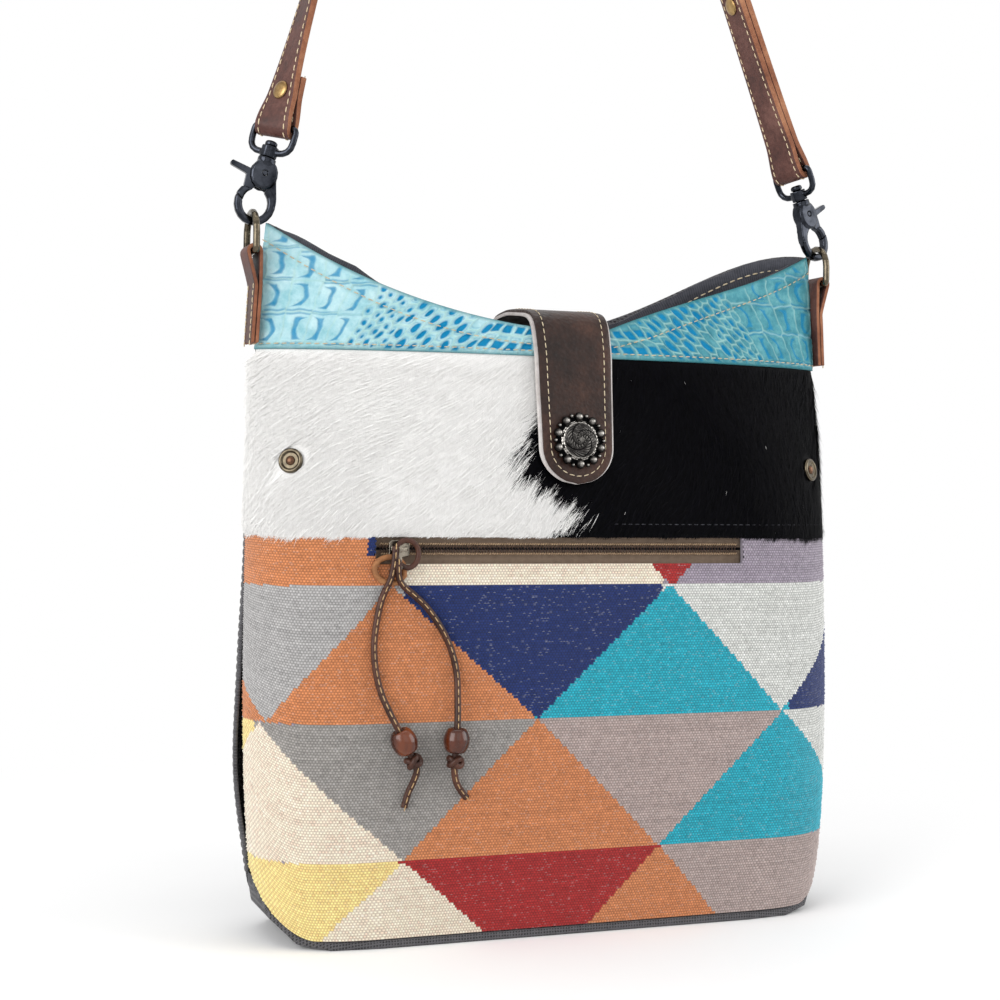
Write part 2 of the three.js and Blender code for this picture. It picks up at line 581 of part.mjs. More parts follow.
// Pocket bag behind the zip, open towards the slot
const pocketLine = (depth, low, high) => {
  const heights = Array.from({ length: 7 }, (_, i) => low + (high - low) * i / 6);
  return heights.map((z) => [-(halfDepth(z) - WOVEN_THICK - POCKET_SETBACK) + depth, z]);
};
const pocketSlab = (inset, low, high, reach) => {
  const front = pocketLine(inset, low, high);
  const back = pocketLine(POCKET_DEPTH - inset, low, high).toReversed();
  const ring = (x) => [...front, ...back].map(([y, z]) => new THREE.Vector3(x, y, z));
  return loft([ring(ZIP_LEFT - reach), ring(ZIP_RIGHT + reach)]);
};
const pocketSide = 6;
const pocketFrontCut = boxBetween(
  [ZIP_LEFT - 2 * pocketSide, -halfDepth(ZIP_Z) - WOVEN_THICK, POCKET_FRONT_TOP],
  [ZIP_RIGHT + 2 * pocketSide, -halfDepth(ZIP_Z) + WOVEN_THICK + POCKET_SETBACK + POCKET_DEPTH / 2, POCKET_TOP + 9],
);
const pocketBag = cut(
  pocketSlab(0, POCKET_BOTTOM, POCKET_TOP, pocketSide),
  pocketSlab(POCKET_WALL, POCKET_BOTTOM + POCKET_WALL, POCKET_TOP + 4, pocketSide - POCKET_WALL),
  pocketFrontCut,
);
add('pocket_bag', pocketBag, finish(0x55504a, 0.95));

// Lace pull: a looped head through the pull's hole, then two strands, each with a bead and a knot
const laceLeather = () => finish(0x6e4026, 0.6);
const loopPoints = Array.from({ length: 14 }, (_, i) => {
  const turn = i * 2 * Math.PI / 14;
  const x = pullX + LACE_LOOP_HALF_WIDTH * Math.sin(turn);
  const z = pullHoleZ - LACE_LOOP_HALF_HEIGHT * (1 - Math.cos(turn));
  return new THREE.Vector3(x, pullHoleY, z);
});
add('lace_head', wireLoop(loopPoints, new THREE.Vector3(0, 1, 0), LACE_LOOP_RADIUS), finish(0xb08358, 0.7));
const beadShape = [
  [BEAD_BORE, -BEAD_HEIGHT / 2], [BEAD_END_RADIUS, -BEAD_HEIGHT / 2], [BEAD_RADIUS - 0.7, -BEAD_HEIGHT / 4],
  [BEAD_RADIUS, 0], [BEAD_RADIUS - 0.7, BEAD_HEIGHT / 4], [BEAD_END_RADIUS, BEAD_HEIGHT / 2],
  [BEAD_BORE, BEAD_HEIGHT / 2], [BEAD_BORE, -BEAD_HEIGHT / 2],
];
const knotShape = [
  [BEAD_BORE, -KNOT_HEIGHT / 2], [KNOT_RADIUS - 1.4, -KNOT_HEIGHT / 2], [KNOT_RADIUS, -KNOT_HEIGHT / 5],
  [KNOT_RADIUS, KNOT_HEIGHT / 5], [KNOT_RADIUS - 1.4, KNOT_HEIGHT / 2], [BEAD_BORE, KNOT_HEIGHT / 2],
  [BEAD_BORE, -KNOT_HEIGHT / 2],
];
const laceSection = ellipse(0, 0, LACE_RADIUS, LACE_RADIUS);
for (const [hand, route] of [['left', LACE_LEFT], ['right', LACE_RIGHT]]) {
  const points = route.map(([right, off, below]) => {
    const z = ZIP_Z - below;
    return new THREE.Vector3(pullX + right, -(halfDepth(z) + off), z);
  });
  const path = new THREE.CatmullRomCurve3(points);
  const lace = new THREE.ExtrudeGeometry(laceSection, { steps: LACE_STEPS, curveSegments: 4, extrudePath: path });
  add(`lace_${hand}`, lace, laceLeather());
  const along = points[KNOT_AT].clone().sub(points[BEAD_AT]).normalize();
  add(`bead_${hand}`, facing(turned(beadShape, 16), along, points[BEAD_AT]), finish(0x7c3f1f, 0.25));
  add(`knot_${hand}`, facing(turned(knotShape, 12), along, points[KNOT_AT]), laceLeather());
}

// Closing tab: leather and a paler backing bent over the mouth, sewn outside the back panel
const tabY = (z) => halfDepth(z) + TAB_STAND_OFF;
const tabFace = (z, side) => new THREE.Vector3(0, side * tabY(z), z);
const tabPath = new THREE.CatmullRomCurve3([
  new THREE.Vector3(0, halfDepth(TAB_ROOT_Z) + TAB_BACKING + 2 * GAP, TAB_ROOT_Z),
  new THREE.Vector3(0, halfDepth(TAB_ROOT_Z + 18) + TAB_BACKING + 3 * GAP, TAB_ROOT_Z + 18),
  new THREE.Vector3(0, halfDepth(BACK_MOUTH_LOW) + TAB_BACKING + GAP, backMouth(TAB_WIDTH / 2) + TAB_BACKING),
  new THREE.Vector3(0, 14, TAB_CREST_Z),
  new THREE.Vector3(0, -6, TAB_CREST_Z - 0.6),
  new THREE.Vector3(0, -halfDepth(FRONT_MOUTH_LOW) + 1, FRONT_MOUTH_LOW + 6),
  tabFace(FRONT_MOUTH_LOW - 10, -1),
  tabFace((FRONT_MOUTH_LOW + CONCHO_Z) / 2, -1),
  tabFace(CONCHO_Z, -1),
  tabFace(TAB_END_Z, -1),
]);
const tabLength = tabPath.getLength();
const across = new THREE.Vector3(1, 0, 0);
const tabBody = (rim) => {
  const radius = TAB_END_WIDTH / 2 + rim;
  const roundFrom = tabLength - TAB_END_WIDTH / 2;
  const straight = Array.from({ length: TAB_STATIONS }, (_, i) => roundFrom * i / (TAB_STATIONS - 1));
  const rounded = Array.from({ length: TAB_END_STATIONS }, (_, i) => {
    const turn = (i + 1) / (TAB_END_STATIONS + 0.4) * Math.PI / 2;
    return roundFrom + (TAB_END_WIDTH / 2) * Math.sin(turn);
  });
  return [...straight, ...rounded].map((run) => {
    const taper = TAB_WIDTH + (TAB_END_WIDTH - TAB_WIDTH) * Math.min(1, run / roundFrom) + 2 * rim;
    const past = Math.max(0, run - roundFrom) * radius / (TAB_END_WIDTH / 2);
    const width = past > 0 ? 2 * Math.sqrt(Math.max(1, radius * radius - past * past)) : taper;
    return { at: tabPath.getPointAt(run / tabLength), across, width };
  });
};
const conchoSeat = tabFace(CONCHO_Z, -1);
const tabSlope = Math.atan2(tabY(CONCHO_Z - 4) - tabY(CONCHO_Z + 4), 8);
const conchoNormal = new THREE.Vector3(0, -Math.cos(tabSlope), Math.sin(tabSlope));
const onTab = (geometry, out) => facing(geometry, conchoNormal, conchoSeat.clone().addScaledVector(conchoNormal, out));
const leatherLift = TAB_LEATHER / 2 + GAP / 2;
const backingLift = TAB_BACKING / 2 + GAP / 2;
const conchoBore = onTab(new THREE.CylinderGeometry(CONCHO_POST + GAP, CONCHO_POST + GAP, 14, 12).rotateX(Math.PI / 2), 0);
const tabLeather = cut(band(tabBody(0), TAB_LEATHER, leatherLift), conchoBore);
add('closing_tab', tabLeather, finish(0x6a3d25, 0.55));
const tabBacking = cut(band(tabBody(TAB_BACKING_RIM), TAB_BACKING, -backingLift), conchoBore);
add('closing_tab_backing', tabBacking, finish(0xd9cbc0, 0.8));

const conchoBase = TAB_LEATHER + 3 * GAP;
const conchoDome = turned([
  [0, 0], [CONCHO_PLATE_RADIUS, 0], [CONCHO_PLATE_RADIUS, CONCHO_PLATE * 0.7], [CONCHO_DOME_RADIUS, CONCHO_PLATE],
  [CONCHO_DOME_RADIUS * 0.82, CONCHO_PLATE + CONCHO_DOME * 0.5],
  [CONCHO_DOME_RADIUS * 0.45, CONCHO_PLATE + CONCHO_DOME * 0.9], [0, CONCHO_PLATE + CONCHO_DOME],
], 16);
const beadsRound = (count, radius, at, phase) => Array.from({ length: count }, (_, i) => {
  const turn = (i + phase) * 2 * Math.PI / count;
  const bead = new THREE.SphereGeometry(radius, 6, 4);
  return bead.translate(at * Math.cos(turn), at * Math.sin(turn), CONCHO_PLATE * 0.7);
});
const berries = beadsRound(BERRY_COUNT, BERRY_RADIUS, CONCHO_PLATE_RADIUS - BERRY_RADIUS * 0.2, 0.5);
const seeds = beadsRound(BERRY_COUNT, SEED_RADIUS, CONCHO_PLATE_RADIUS, 0);
const aboveTab = boxBetween([-TAB_WIDTH, -TAB_WIDTH, 0], [TAB_WIDTH, TAB_WIDTH, TAB_WIDTH]);
const conchoFace = common(joined(conchoDome, ...berries, ...seeds), aboveTab);
const conchoPost = turned([[0, -conchoBase], [CONCHO_POST, -conchoBase], [CONCHO_POST, 1], [0, 1]], 8);
add('concho', onTab(joined(conchoFace, conchoPost), conchoBase), finish(0x7d7f80, 0.35, 0.95));

const magnetDisc = () => turned([
  [0, 0], [MAGNET_RADIUS, 0], [MAGNET_RADIUS, MAGNET_THICK - 0.4], [MAGNET_RADIUS - 0.4, MAGNET_THICK], [0, MAGNET_THICK],
], 20);
const magnetOut = -(TAB_BACKING + GAP / 2 + GAP + MAGNET_THICK);
add('magnet_button_tab', onTab(magnetDisc(), magnetOut), finish(0x9a8a6a, 0.35, 0.9));
const hideNormal = skinNormal(-1, 0, CONCHO_Z);
const hideSeat = skin(-1, 0, CONCHO_Z).addScaledVector(hideNormal, GAP);
const magnetFront = turned([
  [0, 0], [MAGNET_RADIUS, 0], [MAGNET_RADIUS, 0.5], [MAGNET_RADIUS - 0.3, 0.7], [0, 0.7],
], 20);
add('magnet_button_front', facing(magnetFront, hideNormal, hideSeat), finish(0x9a8a6a, 0.35, 0.9));

// Side tabs, D-rings, swivel trigger snaps and their eyes, mirrored except for their own lean and swivel
const gunmetal = () => finish(0x4a4340, 0.35, 0.9);
const strapLeather = () => finish(0x6a3d25, 0.55);
const ringTop = RING_ARC_Z + RING_HALF;
const sides = [
  { hand: 'left', sign: -1, lean: LEFT_LEAN, swivel: 0, twist: LEFT_TWIST },
  { hand: 'right', sign: 1, lean: RIGHT_LEAN, swivel: RIGHT_SWIVEL, twist: RIGHT_TWIST },
];
const radians = THREE.MathUtils.degToRad;

// The snap's own frame: x towards the bag's middle, z up the leaning shank, origin in the ring wire
const snapFrame = ({ sign, lean }) => {
  const up = new THREE.Vector3(-sign * Math.sin(radians(lean)), 0, Math.cos(radians(lean)));
  const inward = new THREE.Vector3(-sign * Math.cos(radians(lean)), 0, -Math.sin(radians(lean)));
  const origin = new THREE.Vector3(sign * ringPlane, 0, ringTop);
  const outward = inward.clone().negate();
  return { up, inward, outward, origin, eye: origin.clone().addScaledVector(up, EYE_BAR_UP) };
};

// Strap face at its eye: turned from the outward side towards the front on the left and the back on the right
const strapFace = (outward, sign, twist) => {
  const forward = new THREE.Vector3(0, sign, 0);
  return outward.clone().multiplyScalar(Math.cos(twist)).addScaledVector(forward, Math.sin(twist));
};

const ringOutline = () => {
  const path = new THREE.Path();
  path.moveTo(-RING_HALF + RING_CORNER, RING_BAR_Z);
  path.lineTo(RING_HALF - RING_CORNER, RING_BAR_Z);
  path.quadraticCurveTo(RING_HALF, RING_BAR_Z, RING_HALF, RING_BAR_Z + RING_CORNER);
  path.absarc(0, RING_ARC_Z, RING_HALF, 0, Math.PI, false);
  path.lineTo(-RING_HALF, RING_BAR_Z + RING_CORNER);
  path.quadraticCurveTo(-RING_HALF, RING_BAR_Z, -RING_HALF + RING_CORNER, RING_BAR_Z);
  return distinct(path.getPoints(5));
};

// Drops repeated neighbours, the last point included
function distinct(points) {
  return points.filter((point, i) => point.distanceTo(points[(i + points.length - 1) % points.length]) > 0.05);
}

for (const side of sides) {
  const { hand, sign, swivel } = side;
  const frame = snapFrame(side);

  const wire = ringOutline().map(({ x, y }) => new THREE.Vector3(sign * ringPlane, x, y));
  add(`d_ring_${hand}`, wireLoop(wire, new THREE.Vector3(1, 0, 0), RING_WIRE), gunmetal());

  const foldRadius = RING_WIRE + BAR_CLEARANCE + SIDE_TAB_THICK / 2;
  const innerLeg = (z) => halfWidth(z) + SIDE_TAB_SEAT + SIDE_TAB_THICK / 2;
  const outerLeg = (z) => innerLeg(z) + SIDE_TAB_THICK + GAP;
  const legHeights = [SIDE_TAB_BOTTOM, SIDE_TAB_BOTTOM + 10, SIDE_TAB_BOTTOM + 20, SIDE_TAB_JOIN];
  const folded = [
    ...legHeights.map((z) => [innerLeg(z), z]),
    ...Array.from({ length: 9 }, (_, i) => {
      const turn = Math.PI - i * Math.PI / 8;
      return [ringPlane + foldRadius * Math.cos(turn), RING_BAR_Z + foldRadius * Math.sin(turn)];
    }),
    ...legHeights.toReversed().map((z) => [outerLeg(z), z]),
  ];
  const foldStations = folded.map(([x, z]) => {
    const at = new THREE.Vector3(sign * x, 0, z);
    return { at, across: new THREE.Vector3(0, 1, 0), width: SIDE_TAB_WIDTH };
  });
  add(`side_tab_${hand}`, band(foldStations, SIDE_TAB_THICK), strapLeather());

  // Snap body: bight and shoulder, slotted for the trigger, with the swivel shank peened over above the eye
  const bightShape = ellipse(0, BIGHT_MIDDLE, BIGHT_WIDTH, BIGHT_HEIGHT);
  bightShape.holes.push(new THREE.Path().absellipse(0, BIGHT_MIDDLE, BIGHT_HOLE_WIDTH, BIGHT_HOLE_HEIGHT, 0, 2 * Math.PI, true));
  const bight = () => upright(extruded(bightShape, BIGHT_THICK, SNAP_BEVEL, 10));
  const noseAt = (across_, rise) => TRIGGER_NOSE_OUTER + rise - TRIGGER_NOSE_SLOPE * (across_ + BIGHT_WIDTH);
  const gateZone = (rise, top, right) => polygon([
    [-16, noseAt(-16, rise)], [right, noseAt(right, rise)], [right, top], [-16, top],
  ]);
  const zone = (rise, top, right) => upright(extruded(gateZone(rise, top, right), SHOULDER_THICK * 2));
  const shoulder = upright(extruded(ellipse(0.3, SHOULDER_MIDDLE, SHOULDER_WIDTH, SHOULDER_HEIGHT), SHOULDER_THICK, SNAP_BEVEL, 8));
  const headFrom = COLLAR_TOP + GAP + BOSS_HEIGHT + GAP;
  const shank = turned([
    [0, COLLAR_TOP - 3.6], [COLLAR_RADIUS - 0.6, COLLAR_TOP - 3.6], [COLLAR_RADIUS, COLLAR_TOP - 2.8],
    [COLLAR_RADIUS, COLLAR_TOP], [SHANK_RADIUS, COLLAR_TOP], [SHANK_RADIUS, headFrom], [HEAD_RADIUS, headFrom],
    [HEAD_RADIUS, headFrom + HEAD_HEIGHT * 0.7], [HEAD_RADIUS * 0.7, headFrom + HEAD_HEIGHT], [0, headFrom + HEAD_HEIGHT],
  ], 16);
  const slotRadius = TRIGGER_LUG + GAP + 0.1;
  const slot = joined(
    upright(extruded(ellipse(PIVOT_ACROSS, PIVOT_UP, slotRadius, slotRadius), TRIGGER_SLOT, 0, 8)),
    boxBetween([-14, -TRIGGER_SLOT / 2, TRIGGER_ARM_TOP - 2], [PIVOT_ACROSS + 3, TRIGGER_SLOT / 2, PIVOT_UP]),
    boxBetween([-14, -TRIGGER_SLOT / 2, PIVOT_UP - 1], [PIVOT_ACROSS, TRIGGER_SLOT / 2, PIVOT_UP + slotRadius]),
  );
  const pivotBore = () => {
    const bore = new THREE.CylinderGeometry(PIN_BORE, PIN_BORE, SHOULDER_THICK * 2, 12);
    return bore.translate(PIVOT_ACROSS, 0, PIVOT_UP);
  };
  const openBight = cut(bight(), zone(0, SHOULDER_MIDDLE, -0.5));
  const snapBody = cut(joined(openBight, shoulder, shank), slot, pivotBore());

  // Trigger: the gate that closes the bight, its lug in the slot and its thumb lever, in one piece
  const gateArm = common(bight(), zone(GAP, TRIGGER_ARM_TOP, -2));
  const leverTop = PIVOT_UP + 1.6;
  const triggerShape = new THREE.Shape();
  triggerShape.moveTo(-4.4, TRIGGER_ARM_TOP - 1);
  triggerShape.lineTo(PIVOT_ACROSS + 0.6, PIVOT_UP - TRIGGER_LUG + 0.4);
  triggerShape.lineTo(PIVOT_ACROSS + 0.6, leverTop + 1);
  triggerShape.lineTo(-7, leverTop - 1);
  triggerShape.lineTo(-TRIGGER_LEVER + 1, leverTop + 0.2);
  triggerShape.quadraticCurveTo(-TRIGGER_LEVER - 0.6, leverTop - 1.2, -TRIGGER_LEVER + 1, leverTop - 2.6);
  triggerShape.lineTo(-8.6, leverTop - 4.4);
  triggerShape.lineTo(-8.2, TRIGGER_ARM_TOP - 1);
  const triggerPlate = upright(extruded(triggerShape, TRIGGER_THICK, 0, 6));
  const lug = upright(extruded(ellipse(PIVOT_ACROSS, PIVOT_UP, TRIGGER_LUG, TRIGGER_LUG), TRIGGER_THICK, 0, 8));
  const trigger = cut(joined(gateArm, triggerPlate, lug), pivotBore());
  const pinLength = SHOULDER_THICK - 0.4;
  const pin = new THREE.CylinderGeometry(PIN_RADIUS, PIN_RADIUS, pinLength, 12).translate(PIVOT_ACROSS, 0, PIVOT_UP);

  const depthAxis = frame.up.clone().cross(frame.inward);
  const holder = new THREE.Group();
  const basis = new THREE.Matrix4().makeBasis(frame.inward, depthAxis, frame.up);
  const spin = new THREE.Matrix4().makeRotationZ(radians(swivel));
  holder.setRotationFromMatrix(basis.clone().multiply(spin));
  holder.position.copy(frame.origin);
  bag.add(holder);
  add(`snap_body_${hand}`, snapBody, gunmetal(), holder);
  add(`snap_trigger_${hand}`, trigger, gunmetal(), holder);
  add(`trigger_pin_${hand}`, pin, finish(0x8a817a, 0.35, 0.9), holder);

  // Swivel eye: a wire frame with a boss that turns on the shank, standing in the plane of the strap's width
  const eyePath = new THREE.Path();
  const bossUp = COLLAR_TOP + GAP + BOSS_HEIGHT / 2;
  const barUp = EYE_BAR_UP;
  eyePath.moveTo(-BOSS_RADIUS, bossUp);
  eyePath.lineTo(BOSS_RADIUS, bossUp);
  eyePath.quadraticCurveTo(EYE_HALF, bossUp, EYE_HALF, bossUp + 7);
  eyePath.lineTo(EYE_HALF, barUp - EYE_CORNER);
  eyePath.quadraticCurveTo(EYE_HALF, barUp, EYE_HALF - EYE_CORNER, barUp);
  eyePath.lineTo(EYE_CORNER - EYE_HALF, barUp);
  eyePath.quadraticCurveTo(-EYE_HALF, barUp, -EYE_HALF, barUp - EYE_CORNER);
  eyePath.lineTo(-EYE_HALF, bossUp + 7);
  eyePath.quadraticCurveTo(-EYE_HALF, bossUp, -BOSS_RADIUS, bossUp);
  const eyePoints = distinct(eyePath.getPoints(4)).map(({ x, y }) => new THREE.Vector3(x, 0, y));
  const eyeWire = wireLoop(eyePoints, new THREE.Vector3(0, 1, 0), EYE_WIRE);
  const boss = turned([
    [0, COLLAR_TOP + GAP], [BOSS_RADIUS, COLLAR_TOP + GAP], [BOSS_RADIUS, COLLAR_TOP + GAP + BOSS_HEIGHT],
    [0, COLLAR_TOP + GAP + BOSS_HEIGHT],
  ], 10);
  const shankBore = turned([[0, 0], [SHANK_BORE, 0], [SHANK_BORE, EYE_BAR_UP - 4], [0, EYE_BAR_UP - 4]], 12);
  const eyeFace = strapFace(frame.outward, sign, radians(side.twist));
  const eyeAcross = eyeFace.clone().cross(frame.up);
  const eyeHolder = new THREE.Group();
  eyeHolder.setRotationFromMatrix(new THREE.Matrix4().makeBasis(eyeAcross, eyeFace.clone(), frame.up));
  eyeHolder.position.copy(frame.origin);
  bag.add(eyeHolder);
  add(`swivel_eye_${hand}`, cut(joined(eyeWire, boss), shankBore), gunmetal(), eyeHolder);
}

// Strap: one long strip, folded round each eye bar and riveted to itself, arched between the two leaning legs
const [leftFrame, rightFrame] = sides.map(snapFrame);
const inwardNormal = ({ inward }) => new THREE.Vector2(inward.x, inward.z);
const nL = inwardNormal(leftFrame);
const nR = inwardNormal(rightFrame);
const reachOf = (normal, { eye }) => STRAP_ARCH_RADIUS + normal.x * eye.x + normal.y * eye.z;
const [dL, dR] = [reachOf(nL, leftFrame), reachOf(nR, rightFrame)];
const spread = nL.x * nR.y - nL.y * nR.x;
const archMiddle = new THREE.Vector3((dL * nR.y - dR * nL.y) / spread, 0, (nL.x * dR - nR.x * dL) / spread);
const layerOffset = (STRAP_THICK + STRAP_LAYER_GAP) / 2;
const strapFold = EYE_WIRE + BAR_CLEARANCE + STRAP_THICK / 2;

// How far the strap is turned out of the arch's plane at a run above the eye bar
const twistAt = (twist, run) => {
  const quick = Math.exp(-Math.max(run, 0) / TWIST_LENGTH);
  const slow = Math.max(0, 1 - Math.max(run, 0) / TWIST_FADE);
  return radians(twist) * ((1 - TWIST_REST) * quick + TWIST_REST * slow);
};
const settle = (run) => {
  const u = Math.min(1, Math.max(0, run) / STRAP_CLOSE);
  return strapFold + (layerOffset - strapFold) * u * u * (3 - 2 * u);
};
const legStation = (frame, side, run, layer) => {
  const face = strapFace(frame.outward, side.sign, twistAt(side.twist, run));
  const at = frame.eye.clone().addScaledVector(frame.up, run).addScaledVector(face, layer * settle(run));
  const across_ = frame.up.clone().cross(face).multiplyScalar(side.sign);
  return { at, across: across_, width: STRAP_WIDTH };
};
const foldStation = (frame, side, turn) => {
  const face = strapFace(frame.outward, side.sign, twistAt(side.twist, 0));
  const at = frame.eye.clone().addScaledVector(face, -strapFold * Math.cos(turn));
  at.addScaledVector(frame.up, -strapFold * Math.sin(turn));
  return { at, across: frame.up.clone().cross(face).multiplyScalar(side.sign), width: STRAP_WIDTH };
};
const legRun = (frame) => archMiddle.clone().sub(frame.eye).dot(frame.up);
const steps = (from, to, count) => Array.from({ length: count + 1 }, (_, i) => from + (to - from) * i / count);
const legRuns = (frame) => [...steps(0, STRAP_CLOSE, 5).slice(1), ...steps(STRAP_CLOSE, legRun(frame), 6).slice(1)];
const turns = steps(0, Math.PI, 6);
const archFrom = Math.atan2(-leftFrame.inward.z, -leftFrame.inward.x);
const archTo = Math.atan2(-rightFrame.inward.z, -rightFrame.inward.x);
const archStations = steps(archFrom, archTo, 16).slice(1, -1).map((turn) => {
  const out = new THREE.Vector3(Math.cos(turn), 0, Math.sin(turn));
  const at = archMiddle.clone().addScaledVector(out, STRAP_ARCH_RADIUS + layerOffset);
  return { at, across: new THREE.Vector3(0, 1, 0), width: STRAP_WIDTH };
});
const [leftSide, rightSide] = sides;
const strapStations = [
  ...steps(LEFT_RETURN, 0, 6).slice(0, -1).map((run) => legStation(leftFrame, leftSide, run, -1)),
  ...turns.map((turn) => foldStation(leftFrame, leftSide, turn)),
  ...legRuns(leftFrame).map((run) => legStation(leftFrame, leftSide, run, 1)),
  ...archStations,
  ...legRuns(rightFrame).toReversed().map((run) => legStation(rightFrame, rightSide, run, 1)),
  ...turns.toReversed().map((turn) => foldStation(rightFrame, rightSide, turn)),
  ...steps(0, STRAP_CLOSE, 5).slice(1).map((run) => legStation(rightFrame, rightSide, run, -1)),
  ...steps(STRAP_CLOSE, RIGHT_RETURN, 5).slice(1).map((run) => legStation(rightFrame, rightSide, run, -1)),
];
const rivetSpots = [
  { hand: 'left', frame: leftFrame, side: leftSide, run: LEFT_RIVET_UP },
  { hand: 'right', frame: rightFrame, side: rightSide, run: RIGHT_RIVET_UP },
];
const rivetPlace = ({ frame, side, run }) => {
  const face = strapFace(frame.outward, side.sign, twistAt(side.twist, run));
  return { face, at: frame.eye.clone().addScaledVector(frame.up, run) };
};
const rivetBores = rivetSpots.map((spot) => {
  const { face, at } = rivetPlace(spot);
  return facing(new THREE.CylinderGeometry(RIVET_BORE, RIVET_BORE, 30, 12).rotateX(Math.PI / 2), face, at);
});
add('shoulder_strap', cut(band(strapStations, STRAP_THICK), ...rivetBores), strapLeather());
const rivetSeat = layerOffset + STRAP_THICK / 2 + 2 * GAP;
for (const spot of rivetSpots) {
  const { face, at } = rivetPlace(spot);
  const top = rivetSeat + RIVET_HEAD_HEIGHT;
  const rivet = turned([
    [0, -top], [RIVET_HEAD * 0.7, -top], [RIVET_HEAD, -rivetSeat - 0.4], [RIVET_HEAD, -rivetSeat], [RIVET_POST, -rivetSeat],
    [RIVET_POST, rivetSeat], [RIVET_HEAD, rivetSeat], [RIVET_HEAD, rivetSeat + 0.4], [RIVET_HEAD * 0.7, top], [0, top],
  ], 12);
  add(`strap_rivet_${spot.hand}`, facing(rivet, face, at), finish(0xb08a50, 0.3, 0.95));
}

export default bag;
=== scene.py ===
# %% [markdown]
# An upright shoulder bag sewn from woven cloth, hair-on hide and embossed leather, with metal snaps on a leather strap.
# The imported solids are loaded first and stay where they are. Every piece made below sits where its solid says.

# %% Load the frame
import math
import bmesh
import bpy
import numpy as np
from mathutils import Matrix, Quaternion, Vector


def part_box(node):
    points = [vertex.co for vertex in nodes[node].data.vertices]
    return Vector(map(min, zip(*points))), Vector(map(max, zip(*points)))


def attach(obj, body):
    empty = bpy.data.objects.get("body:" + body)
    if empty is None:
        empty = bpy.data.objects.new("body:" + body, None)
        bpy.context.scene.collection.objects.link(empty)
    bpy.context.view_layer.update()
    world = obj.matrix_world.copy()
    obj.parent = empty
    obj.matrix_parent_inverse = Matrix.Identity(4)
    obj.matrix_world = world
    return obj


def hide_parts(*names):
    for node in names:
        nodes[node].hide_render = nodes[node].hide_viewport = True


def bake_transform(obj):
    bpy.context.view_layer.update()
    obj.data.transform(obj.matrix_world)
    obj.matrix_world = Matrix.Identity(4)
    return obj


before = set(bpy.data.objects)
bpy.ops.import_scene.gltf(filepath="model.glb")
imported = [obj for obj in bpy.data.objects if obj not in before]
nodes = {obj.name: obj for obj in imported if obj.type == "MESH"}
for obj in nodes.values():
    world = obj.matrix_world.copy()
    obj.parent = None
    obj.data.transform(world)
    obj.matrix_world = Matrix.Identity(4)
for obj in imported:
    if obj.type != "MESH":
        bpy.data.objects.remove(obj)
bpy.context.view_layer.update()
MM = 0.001

# %% [markdown]
# The picture was taken from a little to the left of the bag, level with its upper half. The camera's place, lens and
# shift come from fitting the bag's corners in the picture to its size.

# %% Camera
camera_data = bpy.data.cameras.new("camera")
camera = bpy.data.objects.new("camera", camera_data)
bpy.context.scene.collection.objects.link(camera)
camera.location = (-0.3695, -0.9268, 0.242)
looking = Vector((0.342, 0.940, 0.0))
roll = Quaternion((0, 0, 1), math.radians(.8))
camera.rotation_euler = (looking.to_track_quat("-Z", "Y") @ roll).to_euler()
camera_data.sensor_width = 36.0
camera_data.lens = 63.9
camera_data.shift_x = 0.007
camera_data.shift_y = -0.017
bpy.context.scene.camera = camera
print("camera", round(camera.location.length, 3), "m from the middle of the bag's base")

# %% [markdown]
# The bag is wide and deep at the base and closes to a thin mouth. Its outside could be sculpted, but then each panel
# would need its own copy. Here four smooth curves of height describe it: half width, half depth, the width of the flat
# part and the squareness of the corners. They match the solids' curves, so the panels fit the solids.

# %% Curves of height
BAG_WIDTH, BAG_DEPTH, BAG_HEIGHT = 343 * MM, 95 * MM, 378 * MM


def curve_of_height(pairs, size):
    heights = np.array([p[0] for p in pairs]) * BAG_HEIGHT
    values = np.array([p[1] for p in pairs]) * size
    last = len(heights) - 1
    before = [max(k - 1, 0) for k in range(last + 1)]
    after = [min(k + 1, last) for k in range(last + 1)]
    slopes = (values[after] - values[before]) / (heights[after] - heights[before])

    def at(z):
        z = np.clip(np.asarray(z, float), heights[0], heights[-1])
        k = np.clip(np.searchsorted(heights, z, side="right") - 1, 0, last - 1)
        span = heights[k + 1] - heights[k]
        u = (z - heights[k]) / span
        rise = values[k + 1] - values[k]
        m0, m1 = slopes[k] * span, slopes[k + 1] * span
        return values[k] + m0 * u + (3 * rise - 2 * m0 - m1) * u ** 2 + (m0 + m1 - 2 * rise) * u ** 3

    return at


half_width = curve_of_height(
    [(0, .933), (.08, .968), (.24, .994), (.48, 1), (.69, .991), (.823, .974), (.926, .961), (1.01, .945)],
    BAG_WIDTH / 2)
half_depth = curve_of_height(
    [(0, .947), (.106, 1), (.265, .989), (.423, .952), (.548, .905), (.688, .806), (.823, .663), (1.01, .42)],
    BAG_DEPTH / 2)
flat_half = curve_of_height(
    [(0, .606), (.16, .653), (.57, .653), (.69, .554), (.823, .321), (.913, .146), (1.01, .047)], BAG_WIDTH / 2)
squareness = curve_of_height([(0, 2.6), (.265, 2.3), (.57, 2.0), (.794, 1.7), (.913, 1.35), (1.01, 1.2)], 1)


# %% [markdown]
# A point of the skin has a side, a place t from the left seam (-1) to the right one (1), and a height. The middle of a
# panel is flat, and then it turns the corner as part of a superellipse. Every panel, seam and hair asks this function.

# %% The skin
FLAT_SHARE, SEAM_GAP = .55, .25 * MM


